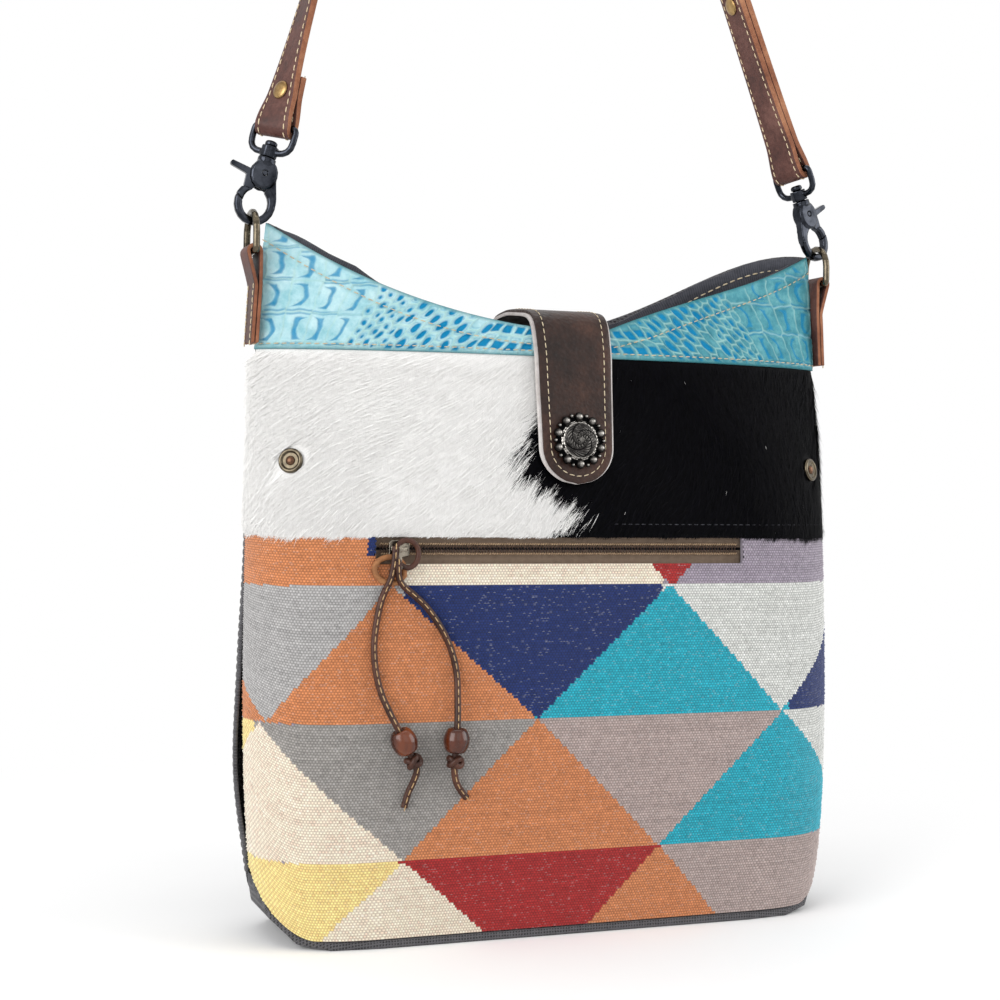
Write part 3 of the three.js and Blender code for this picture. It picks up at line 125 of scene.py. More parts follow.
def skin(side, t, z, depth_in=0.0, width_in=None):
    """Points of the skin: side -1 front, 1 back; t -1 at the left seam, 1 at the right one."""
    width_in = depth_in if width_in is None else width_in
    t, z = np.broadcast_arrays(np.asarray(t, float), np.asarray(z, float))
    corner = np.maximum(0, (np.abs(t) - FLAT_SHARE) / .45) * math.pi / 2
    power = 2 / squareness(z)
    flat = flat_half(z)
    x = flat * np.minimum(1, np.abs(t) / FLAT_SHARE) + (half_width(z) - width_in - flat) * np.sin(corner) ** power
    y = SEAM_GAP + (half_depth(z) - depth_in - SEAM_GAP) * np.maximum(0, np.cos(corner)) ** power
    return np.stack([np.sign(t) * x, side * y, z], -1)


def normals_of(points):
    """Unit normals of a grid of points, rows going up and columns going right as seen from outside."""
    along = np.gradient(points, axis=1)
    up = np.gradient(points, axis=0)
    n = np.cross(along, up)
    return n / np.maximum(np.linalg.norm(n, axis=-1, keepdims=True), 1e-12)


def unit(v):
    return v / np.linalg.norm(v, axis=-1, keepdims=True)


def run_along(path):
    """The distance from the start of a path to each of its points."""
    return np.concatenate([[0], np.cumsum(np.linalg.norm(np.diff(path, axis=0), axis=1))])


def path_length(path):
    return float(np.linalg.norm(np.diff(path, axis=0), axis=1).sum())


def facing_front(count):
    """The same normal, straight out of the front, for each of a number of points."""
    return np.tile((0.0, -1.0, 0.0), (count, 1))


# %% [markdown]
# The mouth dips in the middle, and the back stands a little higher than the front. The base's corners are cut away, so
# the panels' feet rise towards the seams. Columns that step evenly along the skin keep weave and grain to one size.

# %% Mouth, foot and columns
MOUTH_HALF = 162 * MM
FOOT_RISE, FOOT_FROM = 32, .72


def foot_curve(t):
    """How far the foot of a panel rises, in millimetres."""
    return FOOT_RISE * np.maximum(0, (np.abs(t) - FOOT_FROM) / .28) ** 1.6


def front_mouth(x):
    u = (x / MOUTH_HALF) ** 2
    v = np.clip((x - 23.5 * MM) / (138.5 * MM), 0, 1)
    return (326 + 52 * u + 43.5 * v * (1 - v) ** 1.5) * MM


def back_mouth(x):
    u = (x / MOUTH_HALF) ** 2
    return (329 + 49 * u + np.where(x < 0, 26, 60) * u * (1 - u)) * MM


def mouth_height(side, t):
    z = np.full(np.shape(t), .34)
    for _ in range(60):
        x = skin(side, t, z)[..., 0]
        z = .5 * z + .5 * (front_mouth(x) if side < 0 else back_mouth(x))
    return z


def foot_height(t):
    return (foot_curve(t) + 5.1) * MM


def even_columns(count, z):
    """Values of t that step evenly along the skin at a height, and their arc from the middle."""
    t = np.linspace(-1, 1, 2001)
    arc = run_along(skin(-1, t, z))
    arc -= np.interp(0, t, arc)
    steps = np.linspace(arc[0], arc[-1], count)
    return np.interp(steps, arc, t), steps


print("half arc of the front", round(even_columns(9, .15)[1][-1] * 1000, 1), "mm")

# %% [markdown]
# Cloth and leather that follow the skin are grids of points. Blender's own grid could be added and moved point by point,
# but it is simpler to work out the points first and make the mesh at once. Colours are given as they look on a screen
# and turned to the linear values that Blender's shaders take.

# %% Meshes from points
def linear(red, green, blue):
    out = []
    for v in (red, green, blue):
        v = v / 255
        out.append(v / 12.92 if v <= .04045 else ((v + .055) / 1.055) ** 2.4)
    return tuple(out) + (1.0,)


def mesh_piece(name, verts, faces, smooth=True):
    mesh = bpy.data.meshes.new(name)
    mesh.from_pydata(np.asarray(verts).reshape(-1, 3).tolist(), [], faces)
    mesh.update()
    if smooth:
        mesh.polygons.foreach_set("use_smooth", [True] * len(mesh.polygons))
    piece = bpy.data.objects.new(name, mesh)
    bpy.context.scene.collection.objects.link(piece)
    return piece


def grid_faces(rows, cols, wrap=False, start=0):
    faces = []
    for r in range(rows - 1):
        for c in range(cols if wrap else cols - 1):
            d = (c + 1) % cols
            low, high = start + r * cols, start + (r + 1) * cols
            faces.append((low + c, low + d, high + d, high + c))
    return faces


def grid_piece(name, points, uv=None, wrap=False):
    rows, cols = points.shape[:2]
    piece = mesh_piece(name, points, grid_faces(rows, cols, wrap))
    if uv is not None:
        layer = piece.data.uv_layers.new(name="cloth")
        index = np.zeros(len(piece.data.loops), int)
        piece.data.loops.foreach_get("vertex_index", index)
        layer.data.foreach_set("uv", np.asarray(uv, float).reshape(-1, 2)[index].ravel())
    return piece


def colour_points(piece, name, values):
    """Stores a colour for each point."""
    layer = piece.data.color_attributes.new(name, "FLOAT_COLOR", "POINT")
    layer.data.foreach_set("color", np.asarray(values, np.float32).reshape(-1, 4).ravel())


# %% [markdown]
# Modifiers and edit mode work on the active, selected piece, so these helpers select one piece, do one thing to it and
# go back to object mode. The last one settles a finished piece on its body. A piece given a bend has its place applied
# to its mesh and does not ride on a body.

# %% Working on one piece
def select_only(piece):
    bpy.ops.object.select_all(action="DESELECT")
    piece.select_set(True)
    bpy.context.view_layer.objects.active = piece


def enter(mode):
    if bpy.context.object.mode != mode:
        bpy.ops.object.mode_set(mode=mode)


def modify(piece, kind, **settings):
    """Adds a modifier, sets it and applies it."""
    select_only(piece)
    modifier = piece.modifiers.new(kind.lower(), kind)
    for key, value in settings.items():
        setattr(modifier, key, value)
    bpy.ops.object.modifier_apply(modifier=modifier.name)
    return piece


def bevel(piece, width, segments, degrees):
    """Rounds the edges that are sharper than an angle."""
    modify(piece, "BEVEL", width=width, segments=segments, limit_method="ANGLE", angle_limit=math.radians(degrees))


def smooth_by_angle(piece, degrees):
    select_only(piece)
    bpy.ops.object.shade_smooth_by_angle(angle=math.radians(degrees))
    return piece


def outward(piece, merge=False):
    """Points the faces of a closed piece outwards, after merging its doubled points if asked to."""
    select_only(piece)
    enter("EDIT")
    bpy.ops.mesh.select_all(action="SELECT")
    if merge:
        bpy.ops.mesh.remove_doubles(threshold=1e-6)
    bpy.ops.mesh.normals_make_consistent(inside=False)
    enter("OBJECT")
    return piece


def settle_piece(piece, body, slot, finish, *stands_for, bend=None):
    """Gives a finished piece its material, if it has none yet, its body and the solids it stands for. The slot is not
    used.
    """
    if finish:
        piece.data.materials.clear()
        piece.data.materials.append(finish.material)
    if bend:
        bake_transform(piece)
    else:
        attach(piece, body)
    if stands_for:
        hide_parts(*stands_for)
    return piece


# %% [markdown]
# Laces, seams and straps follow paths. A path is given by a few points, and a spline through them is cut into even
# steps. A curve object could carry the bevel too, but the same points also place the stitches.

# %% Paths
def resample(path, spacing=None, count=None):
    path = np.asarray(path, float)
    run = run_along(path[:, :3])
    count = count or max(2, int(round(run[-1] / spacing)) + 1)
    at = np.linspace(0, run[-1], count)
    return np.stack([np.interp(at, run, path[:, k]) for k in range(path.shape[1])], 1)


def catmull(points, count, power=.5):
    """Points along a centripetal spline through the given points."""
    p = np.asarray(points, float)
    p = np.vstack([2 * p[0] - p[1], p, 2 * p[-1] - p[-2]])
    out = []
    for i in range(1, len(p) - 2):
        p0, p1, p2, p3 = p[i - 1:i + 3]
        d = [max(np.linalg.norm(b - a) ** power, 1e-9) for a, b in ((p0, p1), (p1, p2), (p2, p3))]
        m1 = (p1 - p0) / d[0] - (p2 - p0) / (d[0] + d[1]) + (p2 - p1) / d[1]
        m2 = (p2 - p1) / d[1] - (p3 - p1) / (d[1] + d[2]) + (p3 - p2) / d[2]
        m1, m2 = m1 * d[1], m2 * d[1]
        for u in np.arange(40) / 40:
            out.append(p1 + m1 * u + (3 * (p2 - p1) - 2 * m1 - m2) * u * u + (m1 + m2 - 2 * (p2 - p1)) * u ** 3)
    out.append(p[-2])
    return resample(out, count=count)


# %% [markdown]
# Thread is what makes a bag look sewn. A machine stitch shows as a short fat thread that dips into the cloth at both
# ends, so it is six rings of six points, bowed and closed. One mesh holds a whole row.

# %% Stitches
STITCH_RINGS = [(-.5, .35), (-.42, .8), (-.2, 1), (.2, 1), (.42, .8), (.5, .35)]  # place along it, share of its radius
STITCH_SIDES = 6


def stitches(name, path, normals, pitch, length, radius, lift=.15 * MM, slant=0.0):
    """One mesh of separate stitches along a path, each lying on the surface whose normals are given."""
    both = resample(np.hstack([path, normals]), spacing=pitch)
    at, up = both[:, :3], both[:, 3:]
    along = unit(np.gradient(at, axis=0))
    side = unit(np.cross(up, along))
    up = np.cross(along, side)
    along = along * math.cos(slant) + side * math.sin(slant)
    side = np.cross(up, along)
    turn = np.arange(STITCH_SIDES) / STITCH_SIDES * 2 * math.pi
    verts, faces = [], []
    for k in range(len(at)):
        start = len(verts)
        for place, size in STITCH_RINGS:
            sag = radius * (.55 - 1.6 * abs(place) ** 2)
            middle = at[k] + along[k] * place * length + up[k] * (lift + sag)
            for a in turn:
                verts.append(middle + side[k] * math.cos(a) * radius * size + up[k] * math.sin(a) * radius * size * .8)
        faces += grid_faces(len(STITCH_RINGS), STITCH_SIDES, True, start)
        faces.append(tuple(start + j for j in reversed(range(STITCH_SIDES))))
        faces.append(tuple(start + (len(STITCH_RINGS) - 1) * STITCH_SIDES + j for j in range(STITCH_SIDES)))
    return outward(mesh_piece(name, verts, faces))


# %% [markdown]
# A lace is a tube along a path. At each point a ring is set square to the path. Without a given normal each ring takes
# its turn from the ring before, so the tube does not twist.

# %% Tubes
def tube(name, path, radius, sides, normal=None, closed=False, flat=1.0):
    """A round or flattened tube along a path, with closed ends."""
    path = np.asarray(path, float)
    count = len(path)
    along = unit(np.roll(path, -1, 0) - np.roll(path, 1, 0) if closed else np.gradient(path, axis=0))
    ref = np.array(normal if normal is not None else (0, -1, 0), float)
    turn = np.arange(sides) / sides * 2 * math.pi
    rings = []
    for k in range(count):
        u = ref - along[k] * np.dot(ref, along[k])
        if np.linalg.norm(u) < 1e-6:
            u = np.cross(along[k], (1, 0, 0))
        u /= np.linalg.norm(u)
        w = np.cross(along[k], u)
        if normal is None:
            ref = u
        rings.append([path[k] + u * math.cos(a) * radius * flat + w * math.sin(a) * radius for a in turn])
    faces = grid_faces(count, sides, True)
    if closed:
        last = (count - 1) * sides
        faces += [(last + j, last + (j + 1) % sides, (j + 1) % sides, j) for j in range(sides)]
    else:
        faces.append(tuple(reversed(range(sides))))
        faces.append(tuple((count - 1) * sides + j for j in range(sides)))
    return outward(mesh_piece(name, rings, faces))


# %% [markdown]
# Materials are built from noise, waves and cells in each piece's own space, in metres, so that grain and weave have
# their real size. Bump depths are in metres too.

# %% A material in code
class Finish:
    """A material with its shader, and short ways to add nodes to it."""

    def __init__(self, name, colour=(.5, .5, .5, 1), roughness=.6, metallic=0.0):
        self.material = bpy.data.materials.new(name)
        self.material.use_nodes = True
        self.tree = self.material.node_tree
        self.shader = self.tree.nodes["Principled BSDF"]
        self.shader.inputs["Base Color"].default_value = colour
        self.shader.inputs["Roughness"].default_value = roughness
        self.shader.inputs["Metallic"].default_value = metallic
        self.shader.inputs["Specular IOR Level"].default_value = .5 if metallic else .12
        self.coords = self.add("ShaderNodeTexCoord")
        self.bumped = None

    def add(self, kind, **inputs):
        node = self.tree.nodes.new(kind)
        for key, value in inputs.items():
            node.inputs[key.replace("_", " ")].default_value = value
        return node

    def link(self, a, b):
        self.tree.links.new(a, b)

    def noise(self, scale, detail=4.0, rough=.6, stretch=None, space="Object"):
        node = self.add("ShaderNodeTexNoise", Scale=scale, Detail=detail, Roughness=rough)
        self.link(self.place(stretch, space), node.inputs["Vector"])
        return node.outputs["Fac"]

    def cells(self, scale, feature="F1", stretch=None, space="Object"):
        node = self.add("ShaderNodeTexVoronoi", Scale=scale)
        node.feature = feature
        self.link(self.place(stretch, space), node.inputs["Vector"])
        return node.outputs["Distance"]

    def wave(self, scale, direction="X", space="UV", distortion=0.0):
        node = self.add("ShaderNodeTexWave", Scale=scale, Distortion=distortion)
        node.bands_direction = direction
        self.link(self.coords.outputs[space], node.inputs["Vector"])
        return node.outputs["Fac"]

    def place(self, stretch, space):
        if stretch is None:
            return self.coords.outputs[space]
        node = self.add("ShaderNodeMapping", Scale=stretch)
        self.link(self.coords.outputs[space], node.inputs["Vector"])
        return node.outputs["Vector"]

    def ramp(self, source, stops):
        node = self.add("ShaderNodeValToRGB")
        while len(node.color_ramp.elements) < len(stops):
            node.color_ramp.elements.new(.5)
        for element, (place, colour) in zip(node.color_ramp.elements, stops):
            element.position = place
            element.color = linear(*colour) if hasattr(colour, "__len__") else (colour, colour, colour, 1)
        self.link(source, node.inputs["Fac"])
        return node.outputs["Color"]

    def mix(self, amount, a, b, blend="MIX"):
        node = self.add("ShaderNodeMix")
        node.data_type = "RGBA"
        node.blend_type = blend
        self.feed(amount, node.inputs[0])
        self.feed(a, node.inputs[6])
        self.feed(b, node.inputs[7])
        return node.outputs[2]

    def feed(self, value, socket):
        if isinstance(value, bpy.types.NodeSocket):
            self.link(value, socket)
        else:
            socket.default_value = value

    def maths(self, operation, a, b):
        node = self.add("ShaderNodeMath")
        node.operation = operation
        self.feed(a, node.inputs[0])
        self.feed(b, node.inputs[1])
        return node.outputs[0]

    def attribute(self, name):
        node = self.add("ShaderNodeAttribute")
        node.attribute_name = name
        return node

    def colour(self, socket):
        self.feed(socket, self.shader.inputs["Base Color"])

    def rough(self, socket):
        self.feed(socket, self.shader.inputs["Roughness"])

    def bump(self, height, depth, strength=1.0):
        node = self.add("ShaderNodeBump", Distance=depth, Strength=strength)
        self.link(height, node.inputs["Height"])
        if self.bumped is not None:
            self.link(self.bumped, node.inputs["Normal"])
        self.bumped = node.outputs["Normal"]
        self.link(self.bumped, self.shader.inputs["Normal"])


# %% [markdown]
# Leather is pores over a slow mottle, smoother where it is darker. Plated metal is clouded by handling. Sewing
# thread is a fine dull fibre. One function for each keeps a family of finishes alike.

# %% Leather, metal and thread
def leather(name, dark, mid, pale, grain=700, depth=.0003, roughness=(.42, .62)):
    """Leather with pores, a mottled colour and soft wear."""
    f = Finish(name)
    mottle = f.noise(38, 6, .65)
    fine = f.noise(420, 4, .6)
    blend = f.maths("ADD", f.maths("MULTIPLY", mottle, .75), f.maths("MULTIPLY", fine, .25))
    f.colour(f.ramp(blend, [(.34, dark), (.5, mid), (.68, pale)]))
    f.rough(f.ramp(mottle, [(.3, roughness[0]), (.7, roughness[1])]))
    f.bump(f.cells(grain), depth, .45)
    f.bump(f.noise(grain * 2.2, 3), depth * .6, .35)
    f.shader.inputs["Specular IOR Level"].default_value = .26
    return f


def metal(name, dark, pale, roughness=(.24, .46)):
    """Plated metal with handling marks: a clouded colour, uneven roughness and a fine bump."""
    f = Finish(name, metallic=1.0)
    cloud = f.noise(130, 6, .65)
    f.colour(f.ramp(cloud, [(.3, dark), (.72, pale)]))
    f.rough(f.ramp(f.noise(520, 5, .7), [(.3, roughness[0]), (.75, roughness[1])]))
    f.bump(f.noise(500, 4), .00003, .3)
    return f


def thread(name, dark, pale):
    f = Finish(name, roughness=.75)
    f.colour(f.ramp(f.noise(900, 3), [(.3, dark), (.7, pale)]))
    f.bump(f.noise(4200, 2), .0001, .6)
    return f


# %% [markdown]
# The colours come from looking at the picture: dark brown laces and tab, a redder strap with tan cut edges, blackened
# snaps, duller bronze rings and studs, and yellow brass rivets.

# %% Finishes used more than once
lace_brown = leather("lace_brown", (36, 20, 15), (62, 36, 27), (92, 58, 44), 1100, .0002, (.3, .5))
lace_tan = leather("lace_tan", (104, 66, 40), (146, 100, 64), (176, 130, 90), 1300, .0002, (.65, .85))
strap_brown = leather("strap_brown", (50, 30, 27), (80, 50, 44), (110, 76, 68), 620, .0003)
tab_brown = leather("tab_brown", (24, 14, 11), (44, 27, 21), (70, 46, 36), 420, .0006, (.34, .56))
tan_edge = leather("tan_edge", (98, 58, 40), (132, 84, 60), (164, 116, 86), 1500, .0002, (.7, .9))
cream_thread = thread("cream_thread", (186, 164, 132), (222, 204, 174))
tan_thread = thread("tan_thread", (176, 160, 132), (212, 198, 170))
lace_thread = thread("lace_thread", (140, 110, 76), (196, 166, 124))
gunmetal = metal("gunmetal", (22, 24, 29), (66, 69, 76), (.12, .26))
antique_bronze = metal("antique_bronze", (46, 42, 36), (120, 110, 92), (.14, .32))
slider_metal = metal("slider_metal", (64, 58, 52), (186, 176, 160), (.16, .36))
copper = metal("copper", (70, 50, 40), (136, 104, 82))
brass = metal("brass", (120, 92, 56), (196, 164, 112))
print("leathers, threads and metals ready")

# %% [markdown]
# The lace is a folded leather cord. Its two tails hang from the zip pull, pass through a wooden bead each and end in
# a knot with a short tip. A flexible cord of fixed length lies close to the front, so its route follows the skin.

# %% Lace tails
PULL_X, ZIP_Z = -100 * MM, 207 * MM
LACE_RADIUS = 1.8 * MM
# Points of each lace: across from the pull, off the skin and below the zip, in millimetres
LACES = {
    "left": [(-7.4, 2.7, 20.6), (-10, 2.8, 27), (-12.2, 2.7, 37), (-13.6, 2.7, 49), (-13, 3.1, 61), (-10.4, 4, 73),
             (-6.5, 6.2, 83), (-2.6, 7.5, 90.8), (1.3, 7.5, 98.6), (6.5, 7.2, 109), (8.6, 6.6, 113.8), (7.4, 5, 119.4),
             (4.8, 3.1, 126.5), (3.1, 2.5, 133.4)],
    "right": [(3.9, 3, 20.8), (8.4, 3.3, 24.4), (14.8, 3.2, 30.4), (22.2, 3.2, 40.6), (28, 3.3, 52.4), (31, 3.7, 65),
              (30.9, 5.7, 78.4), (30.3, 7.5, 90), (29.8, 7.5, 99), (29.2, 7.1, 110), (29.1, 6.4, 115.6),
              (31.2, 4.7, 122.2), (34.4, 3, 126.6), (37.3, 2.5, 130)],
}
lace_knots = {}
lace_paths = {}
for hand, offsets in LACES.items():
    points = []
    for right, off, below in offsets:
        z = ZIP_Z - below * MM
        points.append((PULL_X + right * MM, -(float(half_depth(z)) + off * MM), z))
    lace_knots[hand] = np.array(points)
    lace_paths[hand] = catmull(points, 110)
    print(hand, "lace", round(path_length(lace_paths[hand]) * 1000, 1), "mm")

# %% [markdown]
# A lace section is rounded but a little flat, with a sewn line of tan thread down its face. The tips are cut square.
# The thread stops short of the bead and the knot, which would hide it.

# %% Lace meshes and their stitching
BEAD_AT, KNOT_AT = 8, 9  # which of a lace's points carry its bead and its knot
LACE_STITCH = (4.4 * MM, 3.3 * MM, .3 * MM, 0)  # pitch, length, radius and lift
lace_pieces = {}
for hand, path in lace_paths.items():
    lace = tube(f"lace_{hand}_tail", path, LACE_RADIUS, 18, normal=(0, -1, 0), flat=.86)
    settle_piece(lace, "zip_pull", "lace", lace_brown, f"lace_{hand}")
    keep = np.linalg.norm(path - lace_knots[hand][BEAD_AT], axis=1) > 7.2 * MM
    keep &= np.linalg.norm(path - lace_knots[hand][KNOT_AT], axis=1) > 4.6 * MM
    rows = np.array_split(path, np.where(np.diff(keep.astype(int)) != 0)[0] + 1)
    seams = []
    shown = [r for r in rows if len(r) > 12 and keep[np.argmin(np.linalg.norm(path - r[6], axis=1))]]
    for number, row in enumerate(shown):
        face = row + np.array([0, -1, 0]) * LACE_RADIUS * .84
        seam = stitches(f"lace_{hand}_stitch_{number}", face, facing_front(len(face)), *LACE_STITCH)
        seams.append(settle_piece(seam, "zip_pull", "lace", lace_thread))
    lace_pieces[hand] = (lace, seams)
    print(hand, "lace", len(lace.data.polygons), "faces,", len(seams), "stitched lengths")

# %% [markdown]
# The beads are turned from reddish wood and polished. The wood's rings of growth are a noise stretched along the bead,
# and a thin clear coat gives the polish.

# %% Bead wood
bead_wood = Finish("bead_wood", roughness=.3)
rings_of_growth = bead_wood.noise(110, 3, .5, (1, 1, .12))
growth_colours = [(.3, (44, 17, 7)), (.5, (78, 33, 13)), (.72, (108, 52, 22))]
bead_wood.colour(bead_wood.ramp(rings_of_growth, growth_colours))
bead_wood.rough(bead_wood.ramp(bead_wood.noise(300), [(.3, .17), (.7, .3)]))
bead_wood.bump(rings_of_growth, .0001, .2)
bead_wood.shader.inputs["Specular IOR Level"].default_value = .32
bead_wood.shader.inputs["Coat Weight"].default_value = .3
bead_wood.shader.inputs["Coat Roughness"].default_value = .06
print("bead wood", len(bead_wood.tree.nodes), "shader nodes")


# %% [markdown]
# Beads, rivets and snaps start as a plain cylinder at the origin. They are shaped in edit mode as one would by hand:
# pick some faces or edges, inset, extrude, scale. Then they are moved to their place and the move is applied, so that
# the object itself stays at the origin.

# %% Shaping in edit mode
def start_cylinder(name, radius, depth, sides):
    """A plain closed cylinder at the origin, alone in the selection, to be shaped in edit mode."""
    bpy.ops.object.select_all(action="DESELECT")
    bpy.ops.mesh.primitive_cylinder_add(vertices=sides, radius=radius, depth=depth, end_fill_type="NGON")
    piece = bpy.context.active_object
    piece.name = piece.data.name = name
    return piece


def pick(piece, kind, test):
    """Clears the selection, then selects the faces or edges that pass a test and stays in edit mode."""
    enter("OBJECT")
    for part in (piece.data.vertices, piece.data.edges, piece.data.polygons):
        part.foreach_set("select", [False] * len(part))
    enter("EDIT")
    bpy.ops.mesh.select_mode(type=kind)
    enter("OBJECT")
    for part in piece.data.polygons if kind == "FACE" else piece.data.edges:
        part.select = test(part)
    enter("EDIT")


def pick_faces(piece, test):
    """Picks faces by their centre and normal."""
    pick(piece, "FACE", lambda face: test(face.center, face.normal))


def pick_edges(piece, test):
    """Picks edges by their two end points."""
    pick(piece, "EDGE", lambda edge: test(*(piece.data.vertices[k].co for k in edge.vertices)))


def widen(scale):
    bpy.ops.transform.resize(value=(scale, scale, 1), center_override=(0, 0, 0))


def stand(piece, at, axis):
    """Turns a piece made upright at the origin to its axis, moves it to its place, and keeps both in its mesh."""
    enter("OBJECT")
    select_only(piece)
    piece.rotation_mode = "QUATERNION"
    piece.rotation_quaternion = Vector((0, 0, 1)).rotation_difference(Vector(axis).normalized())
    piece.location = Vector(at)
    bpy.ops.object.transform_apply(location=True, rotation=True, scale=True)
    return piece


# %% [markdown]
# A bead is fat in the middle and cut flat at the ends. The cylinder's two ends are inset and bridged, which opens the
# bore. Its sides are subdivided into rings, the rings are scaled out to a barrel, and a subdivision surface rounds it.

# %% Turned beads
BEAD_RADIUS, BEAD_LENGTH, BORE_INSET = 4.9 * MM, 13.2 * MM, 2.6 * MM
BEAD_RINGS = ((-.5, .5, 1.47), (2.5, 4.2, 1.3), (-4.2, -2.5, 1.3))  # from and to height in mm, and how far out


def turned_bead(name, at, axis):
    bead = start_cylinder(name, BEAD_RADIUS, BEAD_LENGTH, 24)
    pick_faces(bead, lambda c, n: abs(n.z) > .9)
    bpy.ops.mesh.inset(thickness=BORE_INSET, use_individual=True)
    bpy.ops.mesh.bridge_edge_loops()
    pick_edges(bead, lambda a, b: abs(a.z - b.z) > 10 * MM and a.xy.length > 4 * MM)
    bpy.ops.mesh.subdivide(number_cuts=3)
    for low, high, scale in BEAD_RINGS:
        pick_edges(bead, lambda a, b: all(low * MM < p.z < high * MM and p.xy.length > 4 * MM for p in (a, b)))
        widen(scale)
    enter("OBJECT")
    outward(bead)
    modify(bead, "SUBSURF", levels=2, render_levels=2)
    bpy.ops.object.shade_smooth()
    return stand(bead, at, axis)


lace_with = {"left": [], "right": []}
for hand in ("left", "right"):
    knots = lace_knots[hand]
    direction = knots[BEAD_AT + 1] - knots[BEAD_AT - 1]
    bead = turned_bead(f"bead_{hand}_wood", knots[BEAD_AT], direction)
    print(bead.name, [round(v * 1000, 1) for v in bead.dimensions], "mm,", len(bead.data.polygons), "faces")
    settle_piece(bead, "zip_pull", "bead", bead_wood, f"bead_{hand}")
    lace_with[hand].append(bead)

# %% [markdown]
# Under each bead the lace is tied in an overhand knot. It is drawn as one lace wound round itself twice, so it shows
# crossing strands, and it keeps the size of the solid knot.

# %% Knots
for hand in ("left", "right"):
    at = lace_knots[hand][KNOT_AT]
    axis = unit(lace_knots[hand][KNOT_AT + 1] - lace_knots[hand][KNOT_AT - 1])
    u = unit(np.cross(axis, (0, 1, 0)))
    w = np.cross(axis, u)
    angle = np.linspace(0, 4 * math.pi, 120, endpoint=False)
    wide = 3.0 * MM + .5 * MM * np.cos(1.5 * angle)
    rise = 1.9 * MM * np.sin(1.5 * angle)
    winding = at + u * (wide * np.cos(angle))[:, None] + w * (wide * np.sin(angle))[:, None] + axis * rise[:, None]
    knot = tube(f"knot_{hand}_lace", winding, 1.55 * MM, 12, closed=True)
    settle_piece(knot, "zip_pull", "lace", lace_brown, f"knot_{hand}")
    lace_with[hand].append(knot)
    lace, seams = lace_pieces[hand]
    route = [tuple(p) for p in lace_paths[hand]]
    print(hand, "knot", len(knot.data.polygons), "faces")

# %% [markdown]
# The lace is doubled and looped on the pull with a lark's head: its bight passes through the pull's hole and the two
# tails come back through it. One turn of the bight shows the tan flesh side and lies low on the left. The other
# rises brown round the slider's crown. Both tails run up over them before they hang. The brown turn and the left
# root above the pull's pin have their place applied to their mesh and ride on no body.

# %% Lark's head
def on_front(points):
    """Points given as (across, height, distance off the skin) in millimetres, placed in front of the bag."""
    return np.array([(x * MM, -(float(half_depth(z * MM)) + off * MM), z * MM) for x, z, off in points])


TAN_TURN = [(-97.4, 193.2, 2.2), (-97.8, 198.6, 2.6), (-101.6, 202.2, 2.4), (-106.6, 202.8, 2.1), (-111.4, 200.6, 1.9),
            (-113.2, 196.4, 1.9), (-111, 192, 1.9), (-106.4, 189.8, 1.9), (-101, 190, 2.0), (-97.4, 193.2, 2.2)]
BROWN_TURN = [(-99.6, 198.8, 4.2), (-102, 203, 4), (-101.4, 208, 3.6), (-98, 211.4, 3.2), (-93.8, 211.2, 3.2),
              (-90.4, 208, 3.2), (-90, 203, 3.2), (-92.2, 199, 3.4), (-95.8, 197.4, 3.8), (-99.6, 198.8, 4.2)]
CLIMBS = {
    "left": [(-103, 208.6, 5.6), (-103.4, 203, 5.8), (-104.2, 197, 5.4), (-105.4, 191.4, 4.4), (-107.4, 186.4, 2.7)],
    "right": [(-101.8, 200.8, 6.6), (-101.6, 196.6, 6), (-101, 192.6, 5), (-99.2, 189.2, 4), (-96.1, 186.2, 3)],
}
LACE_BEND = ("zip_slider", "zip_pull", (-.1, -.0454, .2085), (-.1, -.0454, .1995))
tan_turn = catmull(on_front(TAN_TURN), 90)[:-1]
head = tube("lace_head_loop", tan_turn, 1.5 * MM, 14, closed=True)
settle_piece(head, "zip_pull", "lace", lace_tan, "lace_head")
brown_turn = catmull(on_front(BROWN_TURN), 90)[:-1]
crown = tube("lace_head_crown", brown_turn, 1.45 * MM, 12, closed=True)
settle_piece(crown, "zip_pull", "lace", lace_brown, bend=LACE_BEND)
for hand, climb in CLIMBS.items():
    bend = LACE_BEND if hand == "left" else None
    path = catmull(on_front(climb), 40)
    upper = tube(f"lace_{hand}_root", path, 1.7 * MM, 14, normal=(0, -1, 0), flat=.86)
    settle_piece(upper, "zip_pull", "lace", lace_brown, bend=bend)
    dashes = stitches(f"lace_{hand}_root_stitch", path + np.array([0, -1.4 * MM, 0]), facing_front(40), *LACE_STITCH)
    settle_piece(dashes, "zip_pull", "lace", lace_thread, bend=bend)
print("lark's head", len(tan_turn) + len(brown_turn), "rings")

# %% [markdown]
# The front is a weft-faced kilim: coloured wefts packed over a strong warp, so that each weft pass shows as a row of
# small pebbles about 1.7 mm wide. Diagonals step a pebble or two at a time, which gives the serrated triangles.
# Every pebble is a small raised cell with its own colour, with painted shade where it dips between its neighbours and a
# painted highlight on its raised middle.

# %% Kilim pattern
HIDE_BOTTOM, BAND_BOTTOM = 213.5 * MM, 311 * MM
SLOT_LEFT, SLOT_RIGHT, SLOT_LOW = -112 * MM, 101 * MM, 199 * MM
# One paler gray yarn is the gray made lighter as painted light, for the triangle at the left end of the third row.
KILIM = {
    "orange": (199, 127, 82), "gray": (150, 146, 142), "navy": (18, 40, 98), "teal": (28, 162, 182),
    "white": (210, 211, 207), "mauve": (172, 155, 150), "red": (160, 34, 34), "cream": (238, 217, 197),
    "yellow": (252, 213, 142), "gray_painted_light": (170, 168, 167), "lilac": (152, 142, 155),
}
NAMES = list(KILIM)
ROWS_Z, ROW_TALL = [45.5, 116.8, 187.6], 71.1
